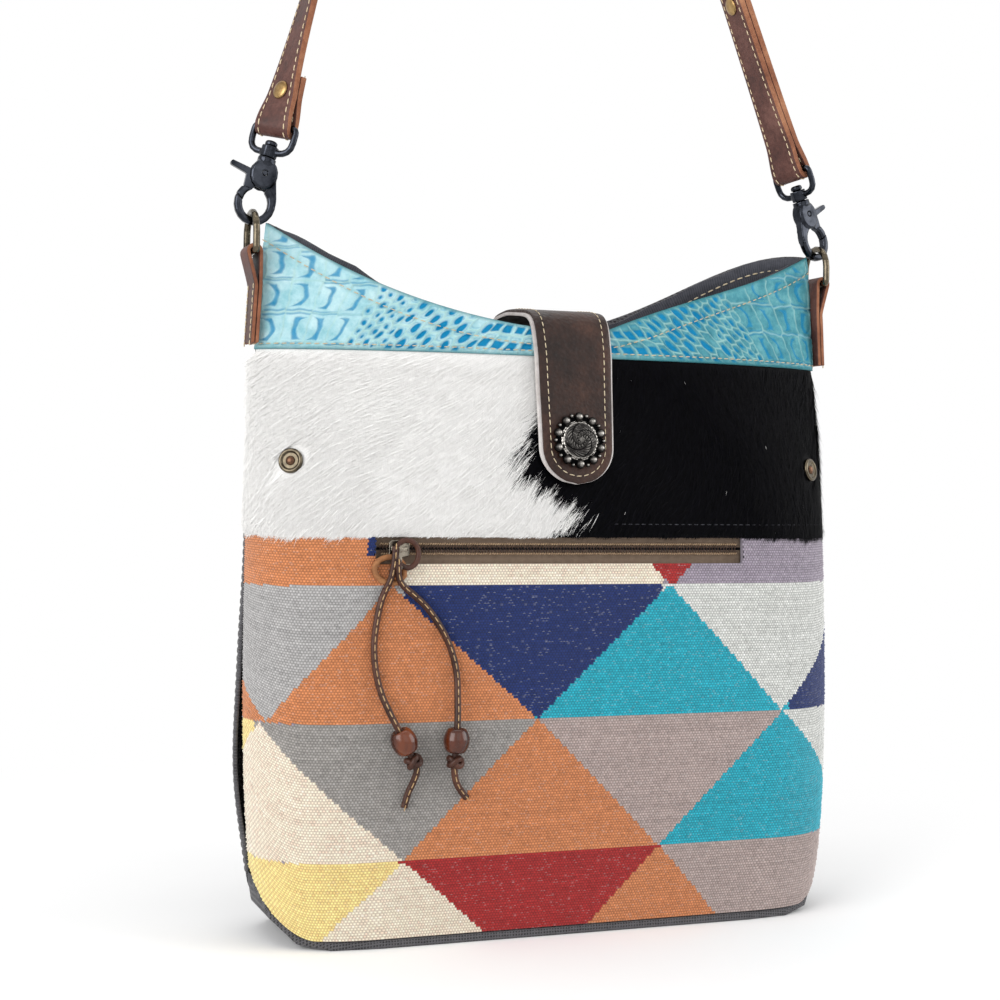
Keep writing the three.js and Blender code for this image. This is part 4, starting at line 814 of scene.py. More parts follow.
# Each row of triangles: a zigzag line of (arc, 0 at the row's foot or 1 at its top) and the colours under and over it
ZIGZAGS = [
    ([(-262, 1), (-182, 0), (-99, 1), (-22, 0), (51, 1), (126, 0), (204, 1)],
     ["cream", "orange", "mauve"], ["yellow", "red", "mauve"]),
    ([(-262, 0), (-176, 1), (-99, 0), (-22, 1), (50.5, 0), (126, 1), (204, 0)],
     ["cream", "orange", "teal"], ["yellow", "gray", "mauve", "white"]),
    ([(-262, 1), (-171, 0), (-103.4, 1), (-22, 0), (56, 1), (125, 0), (204, 1)],
     ["orange", "teal", "navy"], ["gray_painted_light", "navy", "white", "white"]),
]


def kilim_colour(s, z):
    """Index of the colour at an arc and height, both in millimetres."""
    out = np.full(s.shape, NAMES.index("lilac"))
    lows = [-25.8] + ROWS_Z[:2]
    for (zigzag, under, over), low in zip(ZIGZAGS, lows):
        inside = (z >= low) & (z < low + ROW_TALL)
        rise = np.interp(s, [p[0] for p in zigzag], [p[1] for p in zigzag])
        below = (z - low) / ROW_TALL < rise
        tops = [p[0] for p in zigzag if p[1] == 1]
        feet = [p[0] for p in zigzag if p[1] == 0]
        peak = np.abs(s[..., None] - np.array(tops)).argmin(-1)
        dip = np.abs(s[..., None] - np.array(feet)).argmin(-1)
        if tops[0] < -200:
            peak = np.maximum(peak - 1, 0)
        under_index = np.array([NAMES.index(c) for c in under])[np.minimum(peak, len(under) - 1)]
        over_index = np.array([NAMES.index(c) for c in over])[np.minimum(dip, len(over) - 1)]
        out = np.where(inside, np.where(below, under_index, over_index), out)
    top = z >= ROWS_Z[2]
    fields = (("orange", s < -100), ("navy", (s < -109) & (s > -119) & (z > 203)), ("cream", (s >= -100) & (s < 52)),
              ("red", (np.abs(s - 57.5) < (z - 186) * .95) & (z < 201)))
    for name, where in fields:
        out = np.where(top & where, NAMES.index(name), out)
    return out


# %% [markdown]
# The cells lie in rows that follow the skin, each row half a cell along from the one below, as in any packed weave.
# The slot for the zip is left open, and a rim turns in round the edges like a bound seam, so the cloth has thickness.
# The rim takes the yarn's colour darkened as painted shade.

# %% Kilim cells
rng = np.random.default_rng(5)
CELL_WIDE, KILIM_ROWS = 1.7 * MM, 150
arc_t, arc_s = even_columns(1200, .12)
shares = np.linspace(0, 1, KILIM_ROWS)


def kilim_point(arc, share):
    t = np.interp(arc, arc_s, arc_t)
    low = foot_height(t)
    return skin(-1, t, low + (HIDE_BOTTOM - .3 * MM - low) * share)


verts, faces, colours = [], [], []
yarn_table = np.array([linear(*KILIM[n])[:3] for n in NAMES])
total = 0
for r in range(KILIM_ROWS - 1):
    inner = np.arange(arc_s[0] + CELL_WIDE * (.5 if r % 2 else 1), arc_s[-1] - CELL_WIDE * .2, CELL_WIDE)
    edges = np.concatenate([[arc_s[0]], inner, [arc_s[-1]]])
    low_edge, high_edge = kilim_point(edges, shares[r]), kilim_point(edges, shares[r + 1])
    middle = (low_edge[:-1] + low_edge[1:] + high_edge[:-1] + high_edge[1:]) / 4
    out = unit(np.cross(low_edge[1:] - low_edge[:-1], high_edge[:-1] - low_edge[:-1]))
    count = len(middle)
    bulge = (.62 + .2 * rng.standard_normal(count)).clip(.2, 1.1) * MM
    index = kilim_colour((edges[:-1] + edges[1:]) * 500, middle[:, 2] * 1000)
    shade = yarn_table[index] * (1 + .03 * rng.standard_normal() + .065 * rng.standard_normal(count))[:, None]
    pale = rng.random(count) < .02
    shade = np.where(pale[:, None], shade * .9 + .05, shade)
    keep = ~((middle[:, 0] > SLOT_LEFT) & (middle[:, 0] < SLOT_RIGHT) & (middle[:, 2] > SLOT_LOW))
    verts += [low_edge, high_edge, middle + out * bulge[:, None]]
    for c in np.where(keep)[0]:
        a, b = total + c, total + c + 1
        d, e, m = a + count + 1, b + count + 1, total + 2 * (count + 1) + c
        faces += [(a, b, m), (b, e, m), (e, d, m), (d, a, m)]
    # Painted shade darkens each cell's edge corners in the grooves, and a painted highlight lightens its raised middle.
    groove_painted_shade, crown = shade[keep] * .54, shade[keep] * 1.34
    corner = np.repeat(np.stack([groove_painted_shade, groove_painted_shade, crown], 1)[:, None], 4, axis=1)
    warp_shows = rng.random(keep.sum()) < .13
    corner[warp_shows, 0, :2] = corner[warp_shows, 0, :2] * .6 + .17
    colours.append(corner.reshape(-1, 3))
    total += 3 * count + 2
# The rims of the zip slot and of the foot turn in, with their yarn colour darkened as painted shade
slot_corners = [(SLOT_LEFT, HIDE_BOTTOM), (SLOT_LEFT, SLOT_LOW), (SLOT_RIGHT, SLOT_LOW), (SLOT_RIGHT, HIDE_BOTTOM)]
slot_line = resample(slot_corners, count=160)
slot_rim = np.stack([slot_line[:, 0], -half_depth(slot_line[:, 1]) - .3 * MM, slot_line[:, 1]], 1)
foot_rim = kilim_point(arc_s[::8], 0)
for rim in (slot_rim, foot_rim):
    count = len(rim)
    turned_in = rim + np.stack([-.012 * rim[:, 0] * (rim is foot_rim), np.full(count, 3.2 * MM), np.zeros(count)], 1)
    verts += [rim, turned_in]
    faces += [(total + k, total + k + 1, total + count + k + 1, total + count + k) for k in range(count - 1)]
    nearest = kilim_colour(rim[:-1, 0] * 1000, rim[:-1, 2] * 1000 - 2.5 * (rim is slot_rim))
    colours.append(np.repeat(yarn_table[nearest] * .6, 4, axis=0))
    total += 2 * count
kilim = mesh_piece("kilim_front", np.vstack(verts), faces)
kilim_area = float(sum(p.area for p in kilim.data.polygons))
print("kilim triangles", sum(len(p.vertices) - 2 for p in kilim.data.polygons), "area", round(kilim_area, 4))

# %% [markdown]
# Each corner of a face keeps its own colour, so neighbouring cells do not run into each other. The wool's shader takes
# that colour and only breaks it up with fibre.

# %% Kilim wool
layer = kilim.data.color_attributes.new("yarn", "FLOAT_COLOR", "CORNER")
yarn = np.ones((len(kilim.data.loops), 4), np.float32)
yarn[:, :3] = np.clip(np.vstack(colours), 0, 1)
layer.data.foreach_set("color", yarn.ravel())
wool = Finish("kilim_wool", roughness=.92)
yarn_colour = wool.attribute("yarn").outputs["Color"]
fuzz = wool.noise(1500, 4, .7, (1, 1, 2.2))
fuzzy = wool.mix(1.0, yarn_colour, wool.ramp(fuzz, [(.25, .7), (.75, 1.25)]), "MULTIPLY")
wool.colour(wool.mix(.55, yarn_colour, fuzzy))
wool.bump(fuzz, .0004, .5)
wool.bump(wool.noise(5200, 2), .00012, .5)
wool.shader.inputs["Sheen Weight"].default_value = .25
wool.shader.inputs["Sheen Roughness"].default_value = .6
settle_piece(kilim, "bag", "woven", wool, "woven_front_panel")
print("kilim wool in", len(NAMES), "colours")

# %% [markdown]
# Above the weave is a band of hair-on hide, white on the left and black on the right, with the hair combed down. Where
# the two meet the hairs lie over each other in long streaks. First comes the leather ground, coloured like the hair
# above it. One function says on which side of the streaky edge a point lies, for the ground and for each hair.

# %% Hide ground
def skin_frame(side, t, z):
    """Points, outward normals, level tangents and upward tangents of the skin."""
    t, z = np.broadcast_arrays(np.asarray(t, float), np.asarray(z, float))
    inner = np.clip(t, -.9995, .9995)
    step = 2e-4
    p = skin(side, t, z)
    right = skin(side, inner + step, z) - skin(side, inner - step, z)
    up = skin(side, inner, z + .0005) - skin(side, inner, z - .0005)
    right /= np.maximum(np.linalg.norm(right, axis=-1, keepdims=True), 1e-12)
    up = unit(up)
    return p, unit(np.cross(right, up) * (1 if side < 0 else -1)), right, up


BLACK_EDGE = np.array([(213, -12), (219, -5), (226, 3), (231, 7), (239, -4), (245, -13), (251, -23), (258, -26),
                       (264, -25), (276, -18), (287, -13), (311, 5), (318, 9)]) * MM


def black_side(s, z, spread):
    """How far to the black side of the hide a point lies, in metres, with the streaky edge of the two hairs."""
    edge = np.interp(z, BLACK_EDGE[:, 0], BLACK_EDGE[:, 1])
    across = .73 * s - .68 * z
    streaks = .0030 * np.sin(across * 1250 + 2 * np.sin(across * 310)) + .0022 * np.sin(across * 2900 + 1.4)
    streaks += .0026 * np.sin(across * 530 + .6)
    return s - edge + streaks + spread


hide_t, hide_s = even_columns(121, .26)
hide_z = np.linspace(HIDE_BOTTOM - .2 * MM, BAND_BOTTOM + 3 * MM, 36)
grid_t, grid_z = np.meshgrid(hide_t, hide_z)
ground = grid_piece("hide_ground", skin(-1, grid_t, grid_z))
is_dark = black_side(np.broadcast_to(hide_s, grid_t.shape), grid_z, 0) > 0
colour_points(ground, "hair", np.where(is_dark[..., None], linear(2, 2, 4), linear(222, 221, 219)))
modify(ground, "SOLIDIFY", thickness=2.4 * MM, offset=-1)
fur = Finish("hide_hair", roughness=.5)
hair_colour = fur.attribute("hair").outputs["Color"]
strands = fur.ramp(fur.noise(1900, 3, .6, (1, 1, .12)), [(.3, .86), (.7, 1.1)])
fur.colour(fur.mix(.5, hair_colour, fur.mix(1.0, hair_colour, strands, "MULTIPLY")))
fur.bump(fur.noise(2600, 2, .5, (1, 1, .1)), .0002, .35)
fur.shader.inputs["Specular IOR Level"].default_value = .04
settle_piece(ground, "bag", "hide", fur, "hide_band")
print("hide ground", len(ground.data.polygons), "faces")

# %% [markdown]
# Blender can grow hair with a particle system, but particles are not a mesh and would not be exported. So each hair is
# a thin tapered blade that leaves the skin at a low angle and leans the way the hide was combed. At the foot the hairs
# end in tufts a little past the seam, shorter over the zip, where the slider runs.

# %% Where the hairs grow
rng = np.random.default_rng(23)
HAIRS = 104000
hair_s = rng.uniform(hide_s[0], hide_s[-1], HAIRS)
hair_t = np.interp(hair_s, hide_s, hide_t)
hair_z = rng.uniform(HIDE_BOTTOM + .4 * MM, BAND_BOTTOM - .4 * MM, HAIRS)
is_black = black_side(hair_s, hair_z, rng.normal(0, 2.2 * MM, HAIRS)) > 0
stray = rng.random(HAIRS) < np.where(is_black, .0003, .0001)
is_black ^= stray
root, out, right, up = skin_frame(-1, hair_t, hair_z)
sway = np.interp(hair_s, [-.195, -.1, -.03, .02, .08, .195], [-.85, -.75, -.85, -.75, -.55, -.3])
combing = .16 * np.sin(hair_s * 42 + 1.3 + hair_z * 30) + .1 * np.sin(hair_s * 130 + hair_z * 70)
sway += combing + rng.normal(0, .14, HAIRS)
lean = right * np.sin(sway)[:, None] - up * np.cos(sway)[:, None]
length = rng.uniform(9, 17, HAIRS) * MM * np.where(stray, .3, 1)
overhang = rng.uniform(.5, 4.5, HAIRS) * MM * np.where(rng.random(HAIRS) < .12, 1.6, 1)
tuft = np.abs(np.sin(hair_s * 210 + 1.1) * np.sin(hair_s * 77 + .4))
short = np.minimum(overhang * (.15 + .85 * tuft), 2.6 * MM)
overhang = np.where((hair_s > SLOT_LEFT) & (hair_s < SLOT_RIGHT), short, overhang * (.6 + .6 * tuft))
length = np.minimum(length, np.maximum(hair_z - HIDE_BOTTOM + overhang, 2 * MM))
lift = rng.uniform(.2, .75, HAIRS) * MM
lift = np.where(rng.random(HAIRS) < .03, lift + rng.uniform(.6, 2.0, HAIRS) * MM, lift)
across = np.cross(lean, out)
width = rng.uniform(.11, .18, HAIRS) * MM
p0 = root + out * .05 * MM
p1 = root + lean * (length * .45)[:, None] + out * (lift * .75 + .15 * MM)[:, None]
p2 = root + lean * length[:, None] + out * (lift * .9 + .2 * MM)[:, None]
bright = rng.normal(.99, .045, HAIRS).clip(.8, 1.05)[:, None]
white_hair = np.array(linear(228, 227, 225))[None, :3] * bright
black_hair = np.array(linear(3, 3, 6))[None, :3] * rng.normal(1, .6, HAIRS).clip(.3, 3.5)[:, None]
print("hairs", HAIRS, "of which black", int(is_black.sum()))

# %% [markdown]
# Round each gusset snap the hair is pressed away, so blades that would cross a stud are left out. The rest become two
# meshes, one for each colour, and each blade keeps its own shade in a colour attribute.

# %% Blades of hair
STUD_T, STUD_Z = .8, 252 * MM
strand_colour = np.ones((HAIRS, 4))
strand_colour[:, :3] = np.clip(np.where(is_black[:, None], black_hair, white_hair), 0, 1)
bare = np.zeros(HAIRS, bool)
for sign in (-1, 1):
    stud = skin(-1, np.array(STUD_T * sign), np.array(STUD_Z))
    for point in (p0, (p0 + p1) / 2, p1, (p1 + p2) / 2, p2):
        bare |= np.linalg.norm(point - stud, axis=1) < 7.2 * MM
for name, chosen in (("hide_hair_white", ~is_black & ~bare), ("hide_hair_black", is_black & ~bare)):
    w = (across * width[:, None])[chosen]
    blades = np.stack([p0[chosen] - w, p0[chosen] + w, p1[chosen] - w * .9, p1[chosen] + w * .9, p2[chosen]], 1)
    count = len(blades)
    base = np.arange(count)[:, None] * 5
    hair = mesh_piece(name, blades, (base + [0, 1, 3, 2]).tolist() + (base + [2, 3, 4]).tolist())
    colour_points(hair, "hair", np.repeat(strand_colour[chosen], 5, axis=0))
    settle_piece(hair, "bag", "hide", fur)
    print(name, count, "hairs", count * 3, "triangles")

# %% [markdown]
# A row of dark thread near the foot of the hide sews it down. It lies among the hairs, so it only just shows.

# %% Hide stitching
dark_thread = thread("dark_thread", (30, 30, 34), (74, 74, 80))
foot_t = np.linspace(.12, .97, 500)
p, out, _, _ = skin_frame(-1, foot_t, np.full_like(foot_t, HIDE_BOTTOM + 7 * MM))
hide_seam = stitches("hide_stitch", p + out * .5 * MM, out, 4.0 * MM, 2.6 * MM, .28 * MM, 0)
settle_piece(hide_seam, "bag", "hide", dark_thread)
print("hide stitching", len(hide_seam.data.polygons), "faces")

# %% [markdown]
# The top band is leather pressed with a crocodile grain. Towards the ends the scales are large, each with one long
# barred pit. Further in they shrink to pebbles, then to ovals in columns, and by the tab to small tiles. Every scale
# is a point with its own width and height, shaken a little from its place in its column.

# %% Scales of the top band
rng = np.random.default_rng(31)
BAR, PEBBLE, OVAL, TILE = 0, 1, 2, 3
# Columns and rows, first column and step, first row and step, shift of every second column, half sizes, kind, shake
SCALE_ZONES = [
    (7, 5, 121.5, 13.4, 304, 17.2, 1.4, 6.7, 8.6, BAR, 1.1),
    (5, 13, 92.5, 4.9, 309, 6.0, 3, 2.45, 3.0, PEBBLE, 1.0),
    (8, 7, 43, 6.4, 307, 8.6, 4.3, 3.2, 4.3, OVAL, .8),
]
scale_list = []
for hand in (-1, 1):
    for columns, rows, x0, dx, z0, dz, shift, wide, tall, kind, shake in SCALE_ZONES:
        for column in range(columns):
            for row in range(rows):
                place = (hand * (x0 + dx * column), z0 + dz * row + shift * (column % 2))
                scale_list.append(place + (wide, tall, kind, shake))
for column in range(-6, 7):
    for row in range(4):
        scale_list.append((6.3 * column, 316 + 8.8 * row + .05 * abs(6.3 * column), 3.15, 4.4, TILE, .3))
scale_at = np.array(scale_list)
scale_at[:, :2] += rng.uniform(-1, 1, (len(scale_at), 2)) * scale_at[:, 5:6]
pit_size = rng.uniform(.75, 1.2, len(scale_at)) * (rng.random(len(scale_at)) > .1)
pit_bow = rng.uniform(-1.5, 3.0, len(scale_at)) * np.sign(scale_at[:, 0])


print(len(scale_at), "scales")

# %% [markdown]
# Where two scales are equally near, the embossing plate leaves a raised seam. The blue dye gathers in the pit of each
# scale, whose shape depends on its kind: a bowed bar, a round, an oval or a tile. The relief is real geometry, so the
# light catches it from any side.

# %% Pressed relief
def scale_relief(s, z):
    """Height of the pressed grain in millimetres, how deep in a pit a point is and how high on a seam, 0 to 1."""
    first, second = np.full(s.shape, 9.0), np.full(s.shape, 9.0)
    nearest = np.zeros(s.shape, int)
    lean = s + .3 * np.sin(z * .42 + s * .11) + .25 * np.sin(z * .9 - s * .31)
    z = z + .5 * np.sin(s * .23 + 1.1) + .2 * np.sin(s * .8 + z * .2)
    for k, (at, high, wide, tall, _, _) in enumerate(scale_at):
        d = (np.abs((lean - at) / wide) ** 2.4 + np.abs((z - high) / tall) ** 2.4) ** (1 / 2.4)
        closer = d < first
        second = np.where(closer, first, np.minimum(second, d))
        nearest = np.where(closer, k, nearest)
        first = np.where(closer, d, first)
    mine = scale_at[nearest]
    size, bow, kind = pit_size[nearest], pit_bow[nearest], mine[..., 4]
    ds, dz = lean - mine[..., 0], z - mine[..., 1]
    seam = np.exp(-((second - first) * mine[..., 2] * .5 / .32) ** 2)
    share = dz / (mine[..., 3] * .7)
    bar = np.abs(ds - bow * (share ** 2 - .4)) - (1.2 * size + 3.4 * np.abs(share) ** 5 * (ds * bow > 0))
    bar = np.maximum(bar, (np.abs(share) - 1) * mine[..., 3] * .7)
    oval = (np.hypot(ds / (mine[..., 2] * .62), dz / (mine[..., 3] * .62)) - size) * mine[..., 2] * .62
    tile = np.maximum(np.abs(ds) - mine[..., 2] * .66, np.abs(dz + 1.2) - mine[..., 3] * .5 * size)
    edge = np.where(kind == BAR, bar, np.where(kind == TILE, tile, oval + .25 * (kind == PEBBLE)))
    deepest = np.where(kind == BAR, .66, np.where(kind == PEBBLE, .85, 1))
    deep = 1 / (1 + np.exp(np.clip(edge * 5, -30, 30))) * (size > 0) * deepest
    gap = (second - first) * mine[..., 2] * .5
    row_groove = .55 * (kind == BAR) * np.exp(-((np.abs(dz) - mine[..., 3] + .5) / .7) ** 2)
    outline = .3 * (kind != BAR) * np.exp(-((gap - .9) / .35) ** 2)
    deep = np.maximum(deep, np.maximum(row_groove, outline))
    wrinkle = np.sin(s * .9 + 1.6 * np.sin(z * .33)) * np.sin(z * .7 + 1.3 * np.sin(s * .21))
    height = .55 * seam * (1 - deep) - 1.0 * deep + .16 * wrinkle
    return height, deep, seam


def rimmed_sheet(name, points, normals, depth):
    """A sheet as a grid of points, with its four edges turned in by a depth so that it shows its thickness."""
    rows, columns = points.shape[:2]
    border = [(0, c) for c in range(columns)] + [(r, columns - 1) for r in range(1, rows)]
    border += [(rows - 1, c) for c in range(columns - 2, -1, -1)] + [(r, 0) for r in range(rows - 2, 0, -1)]
    turned_in = np.array([points[at] - normals[at] * depth for at in border])
    total, count = rows * columns, len(border)
    faces = grid_faces(rows, columns)
    for k in range(count):
        a, b = border[k], border[(k + 1) % count]
        faces.append((b[0] * columns + b[1], a[0] * columns + a[1], total + k, total + (k + 1) % count))
    return mesh_piece(name, np.vstack([points.reshape(-1, 3), turned_in]), faces), count


# %% [markdown]
# The band is a fine grid on the skin, pushed out by the relief and pressed down at its edges and along its two seams.
# Its edges are turned in, so that it looks as thick as leather. Each point keeps four numbers for the shader: depth in
# a pit, height on a seam, nearness to an edge and a tone, which deepens to the right.

# %% Top band
band_t, band_s = even_columns(600, .33)
band_top = mouth_height(-1, band_t)
band_shares = np.linspace(0, 1, 110)
band_z = BAND_BOTTOM + (band_top - BAND_BOTTOM)[None, :] * band_shares[:, None]
band_grid_t = np.broadcast_to(band_t, band_z.shape)
band_points = skin(-1, band_grid_t, band_z)
band_normals = normals_of(band_points)
relief, deep, seam = scale_relief(np.broadcast_to(band_s * 1000, band_z.shape), band_z * 1000)
above_seam, below_mouth = band_z - BAND_BOTTOM, band_top[None, :] - band_z
edge_down = np.minimum(1, above_seam / (2.2 * MM)) * np.minimum(1, below_mouth / (2.0 * MM))
TOP_SEAM, LOW_SEAM = 9.5 * MM, 2.7 * MM
seam_top = np.exp(-((below_mouth - TOP_SEAM) / (1.0 * MM)) ** 2)
seam_low = np.exp(-((above_seam - LOW_SEAM) / (.8 * MM)) ** 2)
proud = 1.5 * MM + (relief * .9 * edge_down - .5 * (seam_top + seam_low) - .4 * (1 - edge_down)) * MM
band_points = band_points + band_normals * proud[..., None]
top_band, rim_count = rimmed_sheet("embossed_band", band_points, band_normals, 2.6 * MM)
tone = np.interp(band_grid_t, [0, .16, .38, .75, 1], [0, .1, .95, 1, 1])
dye = np.stack([deep * edge_down, seam * edge_down, 1 - edge_down, tone], -1).reshape(-1, 4)
colour_points(top_band, "grain", np.vstack([dye, np.tile((0, 0, 1, .5), (rim_count, 1))]))
print("embossed band", len(top_band.data.polygons), "faces")

# %% [markdown]
# The leather's colour is built in layers, as it is dyed: a cloudy turquoise, blue where the dye ran into the pits, pale
# where the seams are rubbed, and dark at the cut edges. Fine creases are left to a bump.

# %% Embossed leather
croc = Finish("embossed_leather", roughness=.34)
grain = croc.add("ShaderNodeSeparateColor")
grain_points = croc.attribute("grain")
croc.link(grain_points.outputs["Color"], grain.inputs["Color"])
uneven = croc.maths("MULTIPLY", croc.maths("SUBTRACT", croc.noise(300, 5, .65), .5), .6)
depth_of_dye = croc.maths("ADD", grain.outputs["Red"], croc.maths("MULTIPLY", uneven, grain.outputs["Red"]))
clouds = croc.noise(95, 6, .7)
pale_end = croc.ramp(clouds, [(.3, (136, 192, 202)), (.5, (168, 211, 219)), (.7, (198, 229, 233))])
deep_end = croc.ramp(clouds, [(.3, (50, 122, 138)), (.5, (82, 152, 164)), (.7, (118, 180, 186))])
cloudy = croc.mix(grain_points.outputs["Alpha"], pale_end, deep_end)
dyed = croc.mix(croc.ramp(depth_of_dye, [(.12, 0.0), (.8, 1.0)]), cloudy, linear(16, 134, 182))
worn = croc.mix(croc.maths("MULTIPLY", grain.outputs["Green"], .6), dyed, linear(180, 218, 210))
croc.colour(croc.mix(croc.maths("MULTIPLY", grain.outputs["Blue"], .75), worn, linear(34, 104, 112)))
croc.rough(croc.ramp(croc.noise(200), [(.3, .26), (.7, .45)]))
croc.bump(croc.noise(330, 8, .8), .0022, .75)
croc.bump(croc.cells(1500), .0002, .3)
settle_piece(top_band, "bag", "band", croc, "embossed_top_band")
print("embossed leather", len(croc.tree.nodes), "shader nodes")

# %% [markdown]
# Two rows of tan thread hold the band: one near its top edge and one just above its lower edge. They lie in the grooves
# pressed for them, and each stitch is a little slanted, as a machine leaves it.

# %% Band stitching
line_t = np.linspace(-.985, .985, 700)
line_top = mouth_height(-1, line_t)
low_line = np.full_like(line_t, BAND_BOTTOM + LOW_SEAM)
for place, line_z in (("top", line_top - TOP_SEAM), ("low", low_line)):
    p, out, _, _ = skin_frame(-1, line_t, line_z)
    seam = stitches(f"band_stitch_{place}", p + out * 1.35 * MM, out, 4.3 * MM, 2.7 * MM, .3 * MM, .05 * MM, .06)
    settle_piece(seam, "bag", "band", tan_thread)
    print(seam.name, len(seam.data.polygons), "faces")

# %% [markdown]
# The back and the base are heavy gray canvas in a plain weave, and the lining is a finer cloth of the same colour. The
# weave is two crossing waves on the cloth's own lengthwise and crosswise directions, which each piece carries as UVs.

# %% Woven cloth
def woven_cloth(name, dark, pale, pitch, depth):
    f = Finish(name, roughness=.9)
    warp = f.wave(2 * math.pi / pitch / 20, "X", "UV", 1.2)
    weft = f.wave(2 * math.pi / pitch / 20, "Y", "UV", 1.2)
    checks = f.maths("MAXIMUM", warp, weft)
    slub = f.noise(260, 5, .65)
    cloth = f.maths("ADD", f.maths("MULTIPLY", checks, .55), f.maths("MULTIPLY", slub, .6))
    f.colour(f.ramp(cloth, [(.3, dark), (.85, pale)]))
    f.bump(checks, depth, .7)
    f.bump(f.noise(3000, 3), depth * .5, .4)
    f.shader.inputs["Sheen Weight"].default_value = .15
    return f


canvas = woven_cloth("canvas", (34, 33, 35), (92, 91, 94), .0016, .0006)
gray_thread = thread("gray_thread", (92, 90, 90), (136, 134, 132))
lining_cloth = woven_cloth("lining_cloth", (36, 37, 42), (74, 75, 82), .0007, .00015)
print("canvas, lining cloth and gray thread ready")

# %% [markdown]
# The back panel hangs from seam to seam. Cloth simulation could give its creases, but a few crossing waves that die out
# at the edges give shallow folds that are the same on every run. Low at the left seam the canvas swells out past the
# front, as in the picture.

# %% Canvas back
back_t, back_s = even_columns(101, .15)
back_t = back_t[::-1]
back_top = mouth_height(1, back_t)
back_low = foot_height(back_t)
back_shares = np.linspace(0, 1, 90)
back_z = back_low[None, :] + (back_top - back_low)[None, :] * back_shares[:, None]
back_points = skin(1, np.broadcast_to(back_t, back_z.shape), back_z)
wobble = .5 * np.sin(back_points[..., 0] * 55 + back_z * 31) * np.sin(back_z * 47)
slack = np.clip((.9 - np.abs(back_t)) / .3, 0, 1)[None, :] * np.sin(back_shares * math.pi)[:, None]
for reach, turn, phase in ((.9, .5, 0), (.7, -.65, 2.1), (.5, 1.2, 4.0)):
    along = back_points[..., 0] * math.cos(turn) + back_z * math.sin(turn)
    wobble = wobble + reach * slack * np.sin(along * 62 + phase + 1.3 * np.sin(back_z * 21 + phase))
wobble = wobble * MM
back_points = back_points + normals_of(back_points) * wobble[..., None]
at_left = np.clip((np.abs(back_t)[None, :] - .7) / .3, 0, 1)
swell = np.exp(-((back_z - .095) / .055) ** 2) * at_left * (back_t < 0)[None, :]
back_points[..., 0] -= 5 * MM * swell
back_uv = np.stack([np.broadcast_to(back_s, back_z.shape), back_z], -1)
back = grid_piece("canvas_back", back_points, back_uv)
modify(back, "SOLIDIFY", thickness=1.8 * MM, offset=-1)
settle_piece(back, "bag", "canvas", canvas, "canvas_back_panel")

# %% [markdown]
# The back is finished as a sewn piece: two rows of gray thread hold the turned hem along its mouth, and one row runs
# down beside each side seam. Each row reads the cloth's own points, so it lies on the creases.

# %% Back stitching
back_normals = normals_of(back_points)


def sew_back(name, columns, shares):
    rows = np.clip(shares * (len(back_shares) - 1), 0, len(back_shares) - 1)
    low = np.minimum(rows.astype(int), len(back_shares) - 2)
    part = (rows - low)[:, None]
    path = back_points[low, columns] * (1 - part) + back_points[low + 1, columns] * part
    row = stitches(name, path, back_normals[low, columns], 4.4 * MM, 3.2 * MM, .4 * MM, .05 * MM)
    settle_piece(row, "bag", "canvas", gray_thread)


mouth_columns = np.arange(3, 98)
for number, drop in enumerate((5 * MM, 9 * MM)):
    sew_back(f"back_hem_stitch_{number}", mouth_columns, 1 - drop / (back_top - back_low)[mouth_columns])
for hand, column in (("right", 3), ("left", 97)):
    sew_back(f"back_side_stitch_{hand}", np.full(80, column), np.linspace(.02, .955, 80))
print("back sewn at hem and sides")

# %% [markdown]
# The lining is one loose bag hung inside the mouth. It is a grid that runs round both sides, closed below by one face.
# It lies further in at the front, to leave room for the pocket, and its top edge is a little crumpled where the back
# stands higher than the front. The hem's thread follows the same folds.

# %% Lining
def lining_fold(x, z):
    return .9 * np.sin(x * 160) + .7 * np.sin(x * 290 + 1.7) + .5 * np.sin(z * 150 + x * 90)


LINING_LOW, LINING_HALF = 11 * MM, 90
lining_t = np.concatenate([np.linspace(a, -a, LINING_HALF, endpoint=False) for a in (-1, 1)])
lining_side = np.repeat((-1.0, 1.0), LINING_HALF)
lining_top = np.where(lining_side < 0, mouth_height(-1, lining_t), mouth_height(1, lining_t)) - 1.5 * MM
lining_rows = []
for share in np.linspace(0, 1, 70):
    z = LINING_LOW + foot_curve(lining_t) * MM
    z = z + (lining_top - z) * share
    front_row = skin(-1, lining_t, z, 10.4 * MM, 5.4 * MM)
    back_row = skin(1, lining_t, z, 3.8 * MM, 5.4 * MM)
    row = np.where((lining_side < 0)[:, None], front_row, back_row)
    loose = share ** 6 * (lining_side > 0)
    row[:, 1] -= loose * (1.4 + lining_fold(row[:, 0], z)) * MM
    crumple = .5 * np.sin(row[:, 0] * 210) + .4 * np.sin(row[:, 0] * 95)
    row[:, 2] += share ** 20 * (lining_side > 0) * crumple * MM
    lining_rows.append(row)
lining_points = np.array(lining_rows)
lining_run = run_along(lining_points[35])
lining_uv = np.stack([np.broadcast_to(lining_run, lining_points.shape[:2]), lining_points[..., 2]], -1)
lining = grid_piece("lining_cloth", lining_points, lining_uv, wrap=True)
edit = bmesh.new()
edit.from_mesh(lining.data)
edit.verts.ensure_lookup_table()
edit.faces.new([edit.verts[k] for k in reversed(range(2 * LINING_HALF))])
bmesh.ops.triangulate(edit, faces=[f for f in edit.faces if len(f.verts) > 4])
edit.to_mesh(lining.data)
edit.free()
modify(lining, "SOLIDIFY", thickness=.9 * MM, offset=-1)
settle_piece(lining, "bag", "lining", lining_cloth, "lining")
hem_t = np.linspace(-.93, .93, 500)
hem_z = mouth_height(1, hem_t) - 8.5 * MM
hem = skin(1, hem_t, hem_z, 5.2 * MM, 6.8 * MM)
hem_share = ((hem_z - LINING_LOW) / (mouth_height(1, hem_t) - 12.5 * MM)).clip(0, 1)
